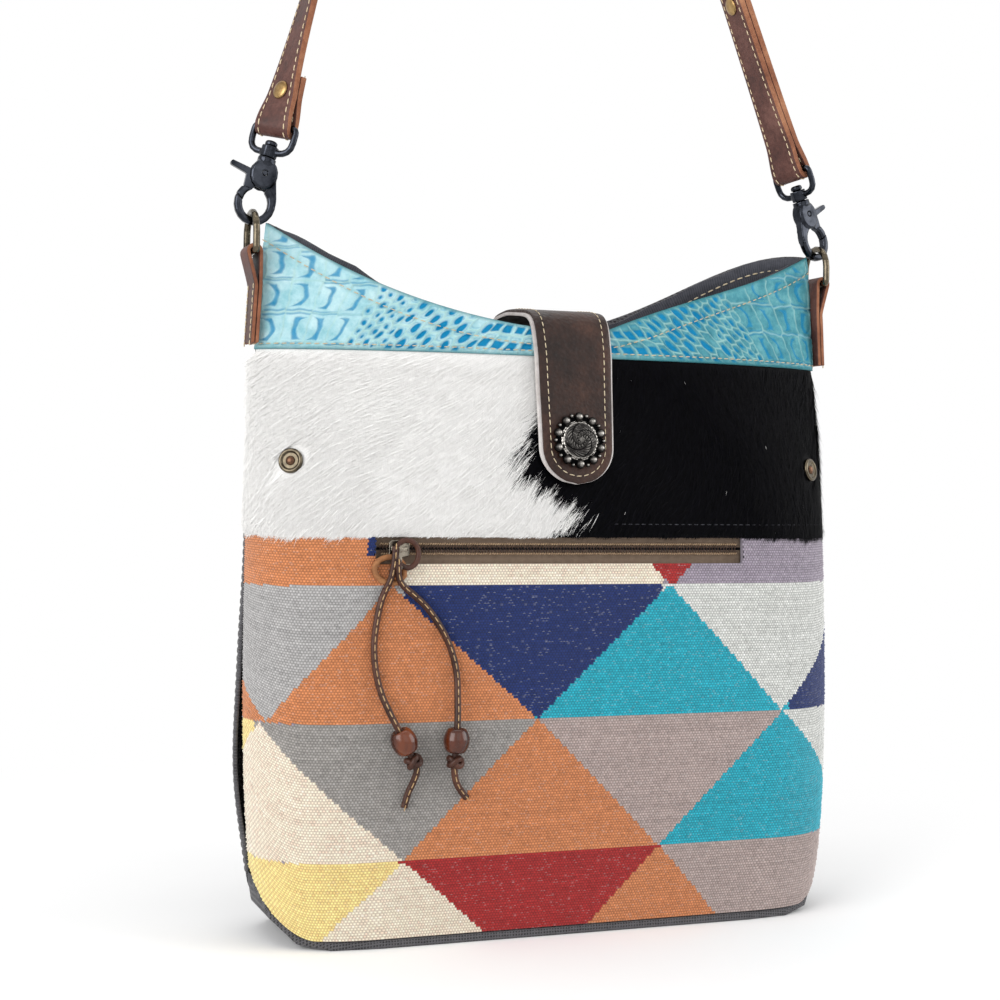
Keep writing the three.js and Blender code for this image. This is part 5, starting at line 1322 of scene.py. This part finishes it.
hem[:, 1] -= hem_share ** 6 * (1.4 + lining_fold(hem[:, 0], hem_z)) * MM
hem_stitch = stitches("lining_stitch", hem, facing_front(500), 4.8 * MM, 3.2 * MM, .42 * MM, .2 * MM)
settle_piece(hem_stitch, "bag", "lining", tan_thread)

# %% [markdown]
# The base panel and the pocket behind the zip need little more than their solids have, so each is a merged copy of its
# solid's mesh. The base gets a bevel where the canvas turns its edge, and the pocket a finer mesh.

# %% Base and pocket
def copy_of(node, name):
    """A merged copy of a solid's mesh, as a new piece."""
    piece = bpy.data.objects.new(name, nodes[node].data.copy())
    bpy.context.scene.collection.objects.link(piece)
    return outward(piece, merge=True)


def flat_uv(piece):
    """Lays the cloth's directions on a piece by its own X and Z."""
    layer = piece.data.uv_layers[0] if piece.data.uv_layers else piece.data.uv_layers.new(name="cloth")
    for loop in piece.data.loops:
        co = piece.data.vertices[loop.vertex_index].co
        layer.data[loop.index].uv = (co.x, co.z + co.y)
    return piece


base = copy_of("canvas_base", "canvas_base_cloth")
bevel(base, 1.2 * MM, 3, 40)
smooth_by_angle(base, 40)
settle_piece(flat_uv(base), "bag", "canvas", canvas, "canvas_base")
pocket = copy_of("pocket_bag", "pocket_cloth")
modify(pocket, "SUBSURF", subdivision_type="SIMPLE", levels=2)
smooth_by_angle(pocket, 40)
settle_piece(flat_uv(pocket), "bag", "lining", lining_cloth, "pocket_bag")
print("base", len(base.data.polygons), "faces, pocket", len(pocket.data.polygons), "faces")

# %% [markdown]
# The pocket closes with a coil zip in taupe tape. The coil is many small loops of nylon, one set on each tape, half a
# step apart, so that they lock. A row of paler thread sews each coil to its tape, and its slanted stitches are what
# shows first. The slider and its pull are castings with a worn plating, made further down.

# %% Zip
zip_thread = thread("zip_thread", (100, 80, 62), (176, 150, 120))
tape_cloth = woven_cloth("zip_tape", (88, 73, 62), (132, 114, 98), .0007, .0002)
for side, sign in (("upper", 1), ("lower", -1)):
    a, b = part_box(f"zip_tape_{side}")
    gx, gz = np.meshgrid(np.linspace(a.x, b.x, 200), np.linspace(a.z, b.z, 10))
    ripple = .12 * MM * np.sin(gx * 190) * np.sin((gz - a.z) / (b.z - a.z) * math.pi)
    tape_points = np.stack([gx, np.full_like(gx, a.y) - ripple, gz], -1)
    tape = grid_piece(f"zip_tape_{side}_cloth", tape_points, np.stack([gx, gz], -1))
    modify(tape, "SOLIDIFY", thickness=.7 * MM, offset=-1)
    settle_piece(tape, "bag", "tape", tape_cloth, f"zip_tape_{side}")
    a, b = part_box(f"zip_coil_{side}")
    start = a.x + 1.2 * MM + (.7 * MM if side == "lower" else 0)
    coil_path = np.empty((500, 3))
    coil_path[:, 0] = np.linspace(start, b.x - 1.2 * MM, 500)
    coil_path[:, 1:] = a.y + .7 * MM, (a.z + b.z) / 2 - .36 * MM * sign
    coil = stitches(f"zip_coil_{side}_loops", coil_path, facing_front(500),
                    1.75 * MM, 3.0 * MM, .5 * MM, 0, (math.pi / 2 - .34) * sign)
    nylon = Finish(f"zip_coil_{side}", roughness=.3)
    nylon.colour(nylon.ramp(nylon.noise(700), [(.3, (40, 30, 26)), (.7, (84, 66, 56))]))
    nylon.bump(nylon.noise(3000), .0001, .3)
    settle_piece(coil, "bag", "coil", nylon, f"zip_coil_{side}")
    sewn_path = coil_path + np.array([0, -.6 * MM, 1.05 * sign * MM])
    sewn = stitches(f"zip_thread_{side}", sewn_path, facing_front(500), 1.3 * MM, 1.5 * MM, .4 * MM, 0, .75)
    settle_piece(sewn, "bag", "tape", zip_thread)
    print(side, "coil", len(coil.data.polygons), "faces, thread", len(sewn.data.polygons), "faces")

# %% [markdown]
# The small castings are made from their solids: the solid is remeshed finely and smoothed a little, which rounds every
# edge as tumbling and plating round a cast piece. On the snap a web of metal runs from the shoulder down the fixed side
# of the bight, so that the casting narrows to its ring like a drop. It is added to the copy first, and the remesh
# fuses the two.

# %% Castings
RING_BAR_Z = .362
RING_PLANE, RING_TOP = float(half_width(RING_BAR_Z)) + 6.2 * MM, .3835
# Side, lean inwards, turn of the snap and twist of the strap above it, in degrees
SNAPS = {"left": (-1, 15, 0, 50), "right": (1, 21.5, 20, 23)}
# The web's outline, across and up from the top of the ring, in millimetres
SNAP_WEB = [(10.9, 6.6), (10.3, 10.4), (9.0, 14.6), (7.9, 18.4), (7.2, 22), (4, 20), (4.2, 14.6), (6.4, 11.6),
            (8.8, 6.6)]
WEB_HALF = 2.3


def casting(node, name, body, slot, finish, voxel, rounds, web=None):
    piece = copy_of(node, name)
    if web is not None:
        edit = bmesh.new()
        edit.from_mesh(piece.data)
        count = len(web) // 2
        corners = [edit.verts.new(p) for p in web]
        edit.faces.new(corners[:count])
        edit.faces.new(reversed(corners[count:]))
        for k in range(count):
            after = (k + 1) % count
            edit.faces.new((corners[after], corners[k], corners[count + k], corners[count + after]))
        bmesh.ops.recalc_face_normals(edit, faces=edit.faces)
        edit.to_mesh(piece.data)
        edit.free()
    modify(piece, "REMESH", mode="VOXEL", voxel_size=voxel, use_smooth_shade=True)
    modify(piece, "SMOOTH", factor=.5, iterations=rounds)
    settle_piece(piece, body, slot, finish, node)
    print(name, len(piece.data.polygons), "faces")
    return piece


def hang(hand):
    """The side, the upward and the inward direction of a snap that leans on its ring, and the top of that ring."""
    sign, lean = SNAPS[hand][0], math.radians(SNAPS[hand][1])
    up = np.array([-sign * math.sin(lean), 0, math.cos(lean)])
    inward = np.array([-sign * math.cos(lean), 0, -math.sin(lean)])
    return sign, up, inward, np.array([sign * RING_PLANE, 0, RING_TOP])


def snap_web(hand):
    """The web's outline on both faces of the snap, placed in the snap's own leaning and turned frame."""
    sign, up, inward, origin = hang(hand)
    swivel = math.radians(SNAPS[hand][2])
    through = np.cross(up, inward)
    across = inward * math.cos(swivel) + through * math.sin(swivel)
    thick = through * math.cos(swivel) - inward * math.sin(swivel)
    return [tuple(origin + (across * a + up * b + thick * WEB_HALF * side) * MM)
            for side in (-1, 1) for a, b in SNAP_WEB]


casting("zip_slider", "zip_slider_cast", "zip_slider", "bronze", slider_metal, .22 * MM, 4)
casting("zip_pull", "zip_pull_cast", "zip_pull", "bronze", slider_metal, .2 * MM, 4)
for hand in ("left", "right"):
    casting(f"snap_body_{hand}", f"snap_body_{hand}_cast", f"snap_{hand}", "gunmetal", gunmetal, .36 * MM, 10,
            snap_web(hand))
    casting(f"snap_trigger_{hand}", f"snap_trigger_{hand}_cast", f"trigger_{hand}", "gunmetal", gunmetal, .3 * MM, 6)
    casting(f"swivel_eye_{hand}", f"swivel_eye_{hand}_cast", "strap", "gunmetal", gunmetal, .36 * MM, 8)
    casting(f"d_ring_{hand}", f"d_ring_{hand}_wire", f"d_ring_{hand}", "gunmetal", antique_bronze, .36 * MM, 8)
    casting(f"trigger_pin_{hand}", f"trigger_pin_{hand}_steel", f"snap_{hand}", "gunmetal", gunmetal, .22 * MM, 2)
casting("magnet_button_tab", "magnet_button_tab_plated", "closing_tab", "bronze", brass, .3 * MM, 3)
casting("magnet_button_front", "magnet_button_front_plated", "bag", "bronze", brass, .3 * MM, 3)

# %% [markdown]
# The closing tab is two layers: brown leather outside and a pale backing that shows as a rim round it. It is sewn to
# the back, bends over the mouth and hangs in front. First comes the bent path that both layers follow.

# %% Path of the closing tab
def front_at(z_mm, off):
    return (-(float(half_depth(z_mm * MM)) + off * MM), z_mm * MM)


def back_at(z_mm, off):
    return (float(half_depth(z_mm * MM)) + off * MM, z_mm * MM)


crest = float(back_mouth(23.5 * MM)) + 1.8 * MM
tab_yz = [back_at(296, 2.4), back_at(314, 2.7), (back_at(329, 2.1)[0], crest), (.014, .3375), (-.006, .3369),
          (front_at(326, -1)[0], .332), front_at(316, 5), front_at(295.5, 5), front_at(265, 5), front_at(242, 5)]
tab_path = catmull([(0, y, z) for y, z in tab_yz], 130)
tab_run = run_along(tab_path)
tab_out = np.cross(unit(np.gradient(tab_path, axis=0)), (1, 0, 0))
TAB_LENGTH = tab_run[-1]
print("tab length", round(TAB_LENGTH * 1000, 1), "mm")

# %% [markdown]
# Each layer is a grid swept along the path, a little narrower towards its rounded end, then given its thickness and a
# small bevel by modifiers. Each layer has its place applied to its mesh and rides on no body.

# %% Closing tab
TAB_END = 20 * MM


def tab_half(run, rim):
    radius = TAB_END + rim
    from_end = TAB_LENGTH - TAB_END
    half = (23.5 - 3.5 * np.minimum(1, run / from_end)) * MM + rim
    past = np.maximum(0, run - from_end) * radius / TAB_END
    return np.where(past > 0, np.sqrt(np.maximum(radius ** 2 - past ** 2, (.6 * MM) ** 2)), half)


def tab_layer(name, rim, lift, puff):
    shares = np.linspace(-1, 1, 25)
    half = tab_half(tab_run, rim)
    edge = 1 - np.abs(shares) ** 10
    points = tab_path[:, None, :] + shares[None, :, None] * half[:, None, None] * np.array([1.0, 0, 0])
    points = points + tab_out[:, None, :] * (lift + puff * edge[None, :, None])
    return grid_piece(name, points[::-1])


TAB_BEND = ("bag", "closing_tab", (0, .0365, .2945), (0, .0315, .2995))
backing_hide = leather("pale_backing", (168, 160, 156), (196, 190, 187), (220, 216, 214), 900, .0002,
                       (.7, .9))
TAB_LAYERS = (("leather", "brown", tab_brown, "closing_tab", 0, 1.5 * MM, .45 * MM),
              ("rim", "backing", backing_hide, "closing_tab_backing", 1.4 * MM, -.15 * MM, 0))
for name, slot, finish, node, rim, lift, puff in TAB_LAYERS:
    tab = tab_layer(f"closing_tab_{name}", rim, lift, puff)
    modify(tab, "SOLIDIFY", thickness=1.8 * MM, offset=-1)
    bevel(tab, .4 * MM, 2, 50)
    smooth_by_angle(tab, 50)
    settle_piece(tab, "closing_tab", slot, finish, node, bend=TAB_BEND)
    print(tab.name, len(tab.data.polygons), "faces")

# %% [markdown]
# One row of tan thread runs down one side of the tab, round its end and up the other. Two short rows across its root
# hold it to the back. All are laid out flat, as across and along, and then placed on the bent path.

# %% Tab stitching
TAB_SEAM = 4.2 * MM


def on_tab(across, run):
    """Points on the face of the tab and their normals."""
    points = np.stack([np.interp(run, tab_run, tab_path[:, k]) for k in range(3)], 1)
    out = np.stack([np.interp(run, tab_run, tab_out[:, k]) for k in range(3)], 1)
    points[:, 0] = across
    return points + out * 1.9 * MM, out


seam_half = tab_half(tab_run, 0) - TAB_SEAM
straight = tab_run < TAB_LENGTH - TAB_END
turn = np.linspace(math.pi, 0, 40)
seam_round = TAB_END - TAB_SEAM
round_end = np.stack([seam_round * np.cos(turn), TAB_LENGTH - TAB_END + seam_round * np.sin(turn)], 1)
left_side, right_side = (np.stack([half, tab_run], 1)[straight] for half in (-seam_half, seam_half))
seam_flat = np.vstack([left_side, round_end, right_side[::-1]])
tab_rows = [("stitch", *on_tab(*seam_flat.T), 4.2 * MM, 2.9 * MM, .05)]
for row, run in (("low", 2.2 * MM), ("high", 5.4 * MM)):
    root_line = on_tab(np.linspace(-17.5, 17.5, 60) * MM, np.full(60, run))
    tab_rows.append((f"root_stitch_{row}", *root_line, 3.9 * MM, 2.7 * MM, 0))
for name, points, out, pitch, length, slant in tab_rows:
    seam = stitches(f"closing_tab_{name}", points, out, pitch, length, .27 * MM, .03 * MM, slant)
    settle_piece(seam, "closing_tab", "brown", tan_thread, bend=TAB_BEND)
    print(seam.name, len(seam.data.polygons), "faces")

# %% [markdown]
# The concho is a cast silver-coloured stud of the common berry kind: a domed middle with an engraved swirl, and a
# ring of ten round berries with small seeds between. The dome is a round grid whose height carries the engraving, so
# that the cut lines are real. It is set square to the tab where the button sits.

# %% Face of the concho
seat_y, seat_z = front_at(265, 5)
slope = math.atan2((float(half_depth(.261)) - float(half_depth(.269))), .008)
concho_out = np.array([0, -math.cos(slope), math.sin(slope)])
concho_up = np.array([0, math.sin(slope), math.cos(slope)])
concho_right = np.array([1.0, 0, 0])
concho_seat = np.array([0, seat_y, seat_z]) + concho_out * 2.7 * MM
CONCHO_RINGS, CONCHO_SIDES = 64, 192
radii = np.linspace(0, 13.4, CONCHO_RINGS)
turns = np.arange(CONCHO_SIDES) / CONCHO_SIDES * 2 * math.pi
rr, aa = np.meshgrid(radii, turns, indexing="ij")
dome = np.where(rr < 10, 1.4 + 3.6 * np.sqrt(np.maximum(0, 1 - (rr / 10.2) ** 2)), 1.4 - .25 * (rr - 10) / 3.4)
swirl = 2 * aa + 5.6 * np.log(rr / 2 + .6)
cut_line = np.exp(-(np.sin(swirl) / .2) ** 2)
hatching = .75 * np.exp(-(np.sin(4.6 * rr + 2.2 * np.cos(1.5 * swirl)) / .55) ** 2) * (np.abs(np.sin(swirl)) > .3)
engraved = np.maximum(cut_line, hatching) * np.clip((rr - 1.0) / .8, 0, 1) * np.clip((9.4 - rr) / .5, 0, 1)
rope = .35 * np.exp(-((rr - 10.1) / .5) ** 2) * (1 + .6 * np.sin(aa * 32))
height = dome - .3 * engraved + rope
concho_points = (concho_seat + concho_right * (rr * np.cos(aa))[..., None] * MM
                 + concho_up * (rr * np.sin(aa))[..., None] * MM + concho_out * height[..., None] * MM)
hollow = np.clip(.72 - .75 * engraved + rope * 1.2 - .65 * (rr > 10.7), 0, 1)
rim_ring = concho_points[-1] - concho_out * 1.1 * MM
verts = np.vstack([concho_points.reshape(-1, 3), rim_ring])
faces = grid_faces(CONCHO_RINGS + 1, CONCHO_SIDES, True)
faces.append(tuple(CONCHO_RINGS * CONCHO_SIDES + j for j in range(CONCHO_SIDES)))
shine = np.concatenate([hollow.ravel(), np.zeros(CONCHO_SIDES)])
print("concho face", len(faces), "faces")

# %% [markdown]
# Each berry and seed is a half ball set into the rim, closed below. The shine kept for each point is low in the hollows,
# which stay black, and high on the tops, which are rubbed bright.

# %% Berries of the concho
BALL_RINGS, BALL_SIDES = 9, 20
for count, radius, at, phase in ((10, 2.6, 12.8, .5), (10, 1.2, 13.9, 0)):
    for k in range(count):
        turn = (k + phase) * 2 * math.pi / count
        centre = (concho_seat + concho_right * at * math.cos(turn) * MM + concho_up * at * math.sin(turn) * MM
                  + concho_out * 1.0 * MM)
        start = len(verts)
        ball = []
        for lat in np.linspace(0, math.pi / 2, BALL_RINGS):
            for lon in np.arange(BALL_SIDES) / BALL_SIDES * 2 * math.pi:
                level = concho_right * math.cos(lon) + concho_up * math.sin(lon)
                ball.append(centre + MM * radius * (concho_out * math.sin(lat) + math.cos(lat) * level))
        verts = np.vstack([verts, ball])
        faces += grid_faces(BALL_RINGS, BALL_SIDES, True, start)
        faces.append(tuple(start + j for j in reversed(range(BALL_SIDES))))
        shine = np.concatenate([shine, np.repeat(np.linspace(.05, 1, BALL_RINGS), BALL_SIDES)])
concho = outward(mesh_piece("concho_silver", verts, faces))
colour_points(concho, "relief", np.stack([shine, shine, shine, np.ones_like(shine)], -1))
antique = Finish("antique_silver", metallic=1.0)
tarnish = antique.maths("MULTIPLY", antique.maths("SUBTRACT", antique.noise(420, 5), .5), .5)
relief_shade = antique.maths("ADD", antique.attribute("relief").outputs["Fac"], tarnish)
silvering = [(.15, (8, 8, 9)), (.6, (46, 44, 43)), (1.05, (176, 172, 166))]
antique.colour(antique.ramp(relief_shade, silvering))
antique.rough(antique.ramp(relief_shade, [(.2, .5), (.8, .15)]))
antique.bump(antique.noise(1300), .00006, .5)
settle_piece(concho, "closing_tab", "silver", antique, "concho")
print("concho", len(concho.data.polygons), "faces")

# %% [markdown]
# A D-ring at each side hangs in a folded leather tab, whose two legs are sewn into the side seam. The fold goes round
# the ring's straight bar. The cut edges show tan, and the skived legs lie close.

# %% Side tabs
def leather_band(name, path, across, width, thick, columns=9):
    """A strap of leather of even thickness along a path, with tan cut edges."""
    path, across = np.asarray(path, float), np.asarray(across, float)
    shares = np.linspace(-1, 1, columns)
    points = path[:, None, :] + across[:, None, :] * (shares * width / 2)[None, :, None]
    piece = grid_piece(name, points)
    piece.data.materials.append(strap_brown.material)
    piece.data.materials.append(tan_edge.material)
    modify(piece, "SOLIDIFY", thickness=thick, offset=0, use_rim=True, material_offset_rim=1, use_even_offset=True)
    bevel(piece, .45 * MM, 2, 60)
    outward(piece)
    smooth_by_angle(piece, 50)
    return piece


TAB_FOLD = 3.35 * MM
for hand, sign in (("left", -1), ("right", 1)):
    heights = np.linspace(.314, .344, 12)
    inner_leg = [(float(half_width(z)) + 1.5 * MM, z) for z in heights]
    round_bar = [(RING_PLANE + TAB_FOLD * math.cos(a), RING_BAR_Z + TAB_FOLD * math.sin(a))
                 for a in np.linspace(math.pi, 0, 25)]
    outer_leg = [(float(half_width(z)) + 3.8 * MM, z) for z in heights[::-1]]
    route = catmull([(sign * x, 0, z) for x, z in inner_leg + round_bar + outer_leg], 90)
    side_tab = leather_band(f"side_tab_{hand}_leather", route, np.tile((0.0, 1.0, 0.0), (90, 1)), 18 * MM, 2 * MM)
    settle_piece(side_tab, "bag", "brown", None, f"side_tab_{hand}")
    print(side_tab.name, len(side_tab.data.polygons), "faces")
    for edge in (-1, 1):
        outer = np.array([(sign * (x + 1.0 * MM), edge * 6.6 * MM, z) for x, z in outer_leg])
        seam = stitches(f"side_tab_{hand}_stitch_{'front' if edge < 0 else 'back'}", outer,
                        np.tile((float(sign), 0.0, 0.0), (len(outer), 1)), 3.8 * MM, 2.9 * MM, .42 * MM, .05 * MM)
        settle_piece(seam, "bag", "brown", tan_thread)

# %% [markdown]
# The strap is two layers of brown leather sewn along both edges, 20 mm wide. Each end folds round the bar of a swivel
# eye and is riveted back on itself. The snaps turn, so the strap leaves each one with a twist that dies out upwards.
# These helpers give a point of the strap's middle line, and the direction across it, on a leg or in a fold.

# %% Ends of the strap
STRAP_FOLD, LAYER, EYE_RISE = 4.05 * MM, 1.95 * MM, 48 * MM
ends = {}
for hand in SNAPS:
    sign, up, inward, ring_top = hang(hand)
    ends[hand] = {"sign": sign, "up": up, "inward": inward, "eye": ring_top + up * EYE_RISE,
                  "twist": math.radians(SNAPS[hand][3])}


def strap_face(end, run):
    run = max(run, 0)
    twist = end["twist"] * (.7 * math.exp(-run / .026) + .3 * max(0, 1 - run / .12))
    return -end["inward"] * math.cos(twist) + np.array([0, end["sign"], 0]) * math.sin(twist)


def leg_station(end, run, layer):
    face = strap_face(end, run)
    u = min(1, max(0, run) / .018)
    settle = STRAP_FOLD + (LAYER - STRAP_FOLD) * u * u * (3 - 2 * u)
    return end["eye"] + end["up"] * run + face * layer * settle, np.cross(end["up"], face) * end["sign"]


def fold_station(end, turn):
    face = strap_face(end, 0)
    at = end["eye"] - face * STRAP_FOLD * math.cos(turn) - end["up"] * STRAP_FOLD * math.sin(turn)
    return at, np.cross(end["up"], face) * end["sign"]


# %% [markdown]
# Above the two straight legs the strap closes in an arch, whose middle lies one arch radius inwards of both legs. The
# strap is one list of stations: a short end, a fold, a leg, the arch, a leg, a fold and the longer right end.

# %% Strap route
ARCH = .122
left, right = ends["left"], ends["right"]
rows = np.array([left["inward"][[0, 2]], right["inward"][[0, 2]]])
reach = np.array([ARCH + rows[0] @ left["eye"][[0, 2]], ARCH + rows[1] @ right["eye"][[0, 2]]])
arch_xz = np.linalg.solve(rows, reach)
arch_middle = np.array([arch_xz[0], 0, arch_xz[1]])
runs = {hand: float((arch_middle - end["eye"]) @ end["up"]) for hand, end in ends.items()}
stations = [leg_station(left, run, -1) for run in np.linspace(.028, 0, 16)[:-1]]
stations += [fold_station(left, turn) for turn in np.linspace(0, math.pi, 17)]
stations += [leg_station(left, run, 1) for run in np.linspace(0, runs["left"], 50)[1:]]
turn_from = math.atan2(-left["inward"][2], -left["inward"][0])
turn_to = math.atan2(-right["inward"][2], -right["inward"][0])
for turn in np.linspace(turn_from, turn_to, 64)[1:-1]:
    outwards = np.array([math.cos(turn), 0, math.sin(turn)])
    stations.append((arch_middle + outwards * (ARCH + LAYER), np.array([0, 1.0, 0])))
stations += [leg_station(right, run, 1) for run in np.linspace(runs["right"], 0, 50)[:-1]]
stations += [fold_station(right, turn) for turn in np.linspace(math.pi, 0, 17)]
stations += [leg_station(right, run, -1) for run in np.linspace(0, .112, 44)[1:]]
strap_path = np.array([s[0] for s in stations])
strap_across = np.array([s[1] for s in stations])
strap = leather_band("shoulder_strap_leather", strap_path, strap_across, 20 * MM, 3.6 * MM, 11)
settle_piece(strap, "strap", "brown", None, "shoulder_strap")
print("strap length", round(path_length(strap_path) * 1000), "mm")

# %% [markdown]
# Cream thread runs along both edges of the strap and shows on both of its faces. The same path and crosswise directions
# place the four rows.

# %% Strap stitching
strap_out = np.cross(strap_across, unit(np.gradient(strap_path, axis=0)))
for face, side in ((-1, "in"), (1, "out")):
    for edge, place in ((-1, "front"), (1, "back")):
        line = strap_path + strap_across * edge * 7.6 * MM + strap_out * face * 1.8 * MM
        seam = stitches(f"strap_stitch_{side}_{place}", line, strap_out * face, 4.6 * MM, 3.1 * MM, .38 * MM,
                        .03 * MM, .05)
        settle_piece(seam, "strap", "brown", cream_thread)
print("strap sewn with four rows of", len(seam.data.polygons) // 32, "stitches")

# %% [markdown]
# A brass cap rivet clamps each folded end of the strap. Its two caps are low domes pressed on a post, with a rolled rim.
# The post is a cylinder. Each of its ends is extruded, widened and raised, and three insets that climb less and less
# make the dome.

# %% Strap rivets
POST_RADIUS, CAP_RADIUS = 1.7, 5.0


def domed(steps, end=1):
    """Insets the picked face and lifts it, step by step, both in millimetres."""
    for step, climb in steps:
        bpy.ops.mesh.inset(thickness=step * MM)
        bpy.ops.transform.translate(value=(0, 0, end * climb * MM))


def riveted(name, rise, at, axis):
    """A rivet: a post whose two ends are drawn out into domed caps."""
    rivet = start_cylinder(name, POST_RADIUS * MM, 2 * rise, 40)
    for end in (1, -1):
        pick_faces(rivet, lambda c, n: n.z * end > .9 and c.z * end > rise * .9)
        bpy.ops.mesh.extrude_region_move(TRANSFORM_OT_translate={"value": (0, 0, 0)})
        widen(CAP_RADIUS / POST_RADIUS)
        bpy.ops.mesh.extrude_region_move(TRANSFORM_OT_translate={"value": (0, 0, end * .45 * MM)})
        domed(((.45, .45), (1.3, .4), (1.5, .2)), end)
    enter("OBJECT")
    outward(rivet)
    smooth_by_angle(rivet, 50)
    return stand(rivet, at, axis)


for hand, run in (("left", .019), ("right", .102)):
    end = ends[hand]
    at = end["eye"] + end["up"] * run
    rivet = riveted(f"strap_rivet_{hand}_brass", LAYER + 2.4 * MM - .3 * MM, at, strap_face(end, run))
    settle_piece(rivet, "strap", "rivet", brass, f"strap_rivet_{hand}")
    print(rivet.name, len(rivet.data.polygons), "faces")

# %% [markdown]
# Near each side seam a press snap gathers the gusset, one at the front and one at the back. It shows a dished flange
# with a rolled edge and the round head of a copper-coloured post. Both start as cylinders and are inset and dished.

# %% Gusset snaps
def snap_ring(name, at, axis):
    """The snap's flange: a disc with a rolled edge, dished round its middle."""
    ring = start_cylinder(name, 6.6 * MM, 1.4 * MM, 40)
    pick_faces(ring, lambda c, n: n.z > .9)
    domed(((.7, .75), (.9, 0), (.7, -.95), (1.2, 0)))
    enter("OBJECT")
    bevel(ring, .25 * MM, 3, 25)
    smooth_by_angle(ring, 50)
    return stand(ring, at, axis)


def snap_post(name, at, axis):
    """The snap's post: a long stud through the seam with a rounded head."""
    post = start_cylinder(name, 2.5 * MM, 9.0 * MM, 28)
    pick_faces(post, lambda c, n: n.z > .9)
    domed(((.5, .5), (.9, .4), (.6, .1)))
    enter("OBJECT")
    smooth_by_angle(post, 50)
    return stand(post, at, axis)


for place, side in (("front", -1), ("back", 1)):
    for hand, sign in (("left", -1), ("right", 1)):
        p, out, _, _ = skin_frame(side, np.array([sign * STUD_T]), np.array([STUD_Z]))
        ring = snap_ring(f"gusset_snap_{place}_{hand}_ring", p[0] + out[0] * .7 * MM, out[0])
        settle_piece(ring, "bag", "bronze", antique_bronze, f"gusset_snap_{place}_{hand}")
        post = snap_post(f"gusset_snap_{place}_{hand}_post", p[0] - out[0] * 3.0 * MM, out[0])
        settle_piece(post, "bag", "bronze", copper)
        print(ring.name, len(ring.data.polygons), "faces, post", len(post.data.polygons), "faces")

# %% [markdown]
# The bag stands on a pale floor. Near the bag the floor is lit as it is, so that it shows the bag's soft shadow. Further
# off it fades to plain white for whatever sees it straight on: the camera, a reflection or glass. Light that bounces
# off it is not changed by that.

# %% Floor
def seen_directly(tree):
    """A socket that is 1 for rays of the camera, of reflections and through glass, and 0 for the rest of the light."""
    ray = tree.nodes.new("ShaderNodeLightPath")
    last = ray.outputs["Is Camera Ray"]
    for kind in ("Is Glossy Ray", "Is Transmission Ray"):
        either = tree.nodes.new("ShaderNodeMath")
        either.operation = "MAXIMUM"
        tree.links.new(last, either.inputs[0])
        tree.links.new(ray.outputs[kind], either.inputs[1])
        last = either.outputs["Value"]
    return last


bpy.ops.object.select_all(action="DESELECT")
bpy.ops.mesh.primitive_plane_add(size=12, location=(0, 3, 0))
floor = bpy.context.object
floor.name = "studio_floor"
backdrop = Finish("studio_floor", linear(240, 240, 240), .8)
paper = [(.3, (242, 242, 242)), (.7, (246, 246, 246))]
backdrop.colour(backdrop.ramp(backdrop.noise(2.0), paper))
distance = backdrop.add("ShaderNodeVectorMath")
distance.operation = "DISTANCE"
backdrop.link(backdrop.coords.outputs["Object"], distance.inputs[0])
distance.inputs[1].default_value = (0, -3, 0)
far = backdrop.ramp(distance.outputs["Value"], [(.22, 0.0), (.62, 1.0)])
glow = backdrop.add("ShaderNodeEmission", Color=(1, 1, 1, 1), Strength=1.0)
seen = backdrop.add("ShaderNodeMixShader")
backdrop.link(backdrop.maths("MULTIPLY", far, seen_directly(backdrop.tree)), seen.inputs["Fac"])
backdrop.link(backdrop.shader.outputs["BSDF"], seen.inputs[1])
backdrop.link(glow.outputs["Emission"], seen.inputs[2])
backdrop.link(seen.outputs["Shader"], backdrop.tree.nodes["Material Output"].inputs["Surface"])
floor.data.materials.append(backdrop.material)
print("floor", [round(v, 1) for v in floor.dimensions], "m")

# %% [markdown]
# The room is white to the eye but lights the bag less than that, and four large soft lamps add shape: the key from the
# left, as in the picture, a fill from the right, a weak one in front and one above. At this level colours come out
# about as they are written.

# %% Room and lamps
world = bpy.data.worlds.new("studio")
bpy.context.scene.world = world
world.use_nodes = True
room = world.node_tree.nodes["Background"]
room.inputs["Color"].default_value = (1, 1, 1, 1)
room.inputs["Strength"].default_value = .62
seen_room = world.node_tree.nodes.new("ShaderNodeBackground")
seen_room.inputs["Color"].default_value = (1, 1, 1, 1)
seen_room.inputs["Strength"].default_value = 1.0
choose = world.node_tree.nodes.new("ShaderNodeMixShader")
surface = world.node_tree.nodes["World Output"].inputs["Surface"]
for a, b in ((seen_directly(world.node_tree), choose.inputs["Fac"]), (room.outputs["Background"], choose.inputs[1]),
             (seen_room.outputs["Background"], choose.inputs[2]), (choose.outputs["Shader"], surface)):
    world.node_tree.links.new(a, b)
LAMPS = (("key", (-1.9, -1.0, .9), 1.6, 35), ("fill", (1.9, -.9, .9), 1.6, 24), ("front", (.1, -2.4, 1.2), 1.8, 6),
         ("top", (0, .3, 2.2), 2.0, 15))
for name, place, size, power in LAMPS:
    light = bpy.data.lights.new(name, "AREA")
    light.size = size
    light.energy = power
    lamp = bpy.data.objects.new(name, light)
    bpy.context.scene.collection.objects.link(lamp)
    lamp.location = place
    lamp.rotation_euler = (Vector((0, 0, .25)) - Vector(place)).to_track_quat("-Z", "Y").to_euler()
bpy.context.scene.view_settings.view_transform = "Standard"
print("lamps", [name for name, *_ in LAMPS])
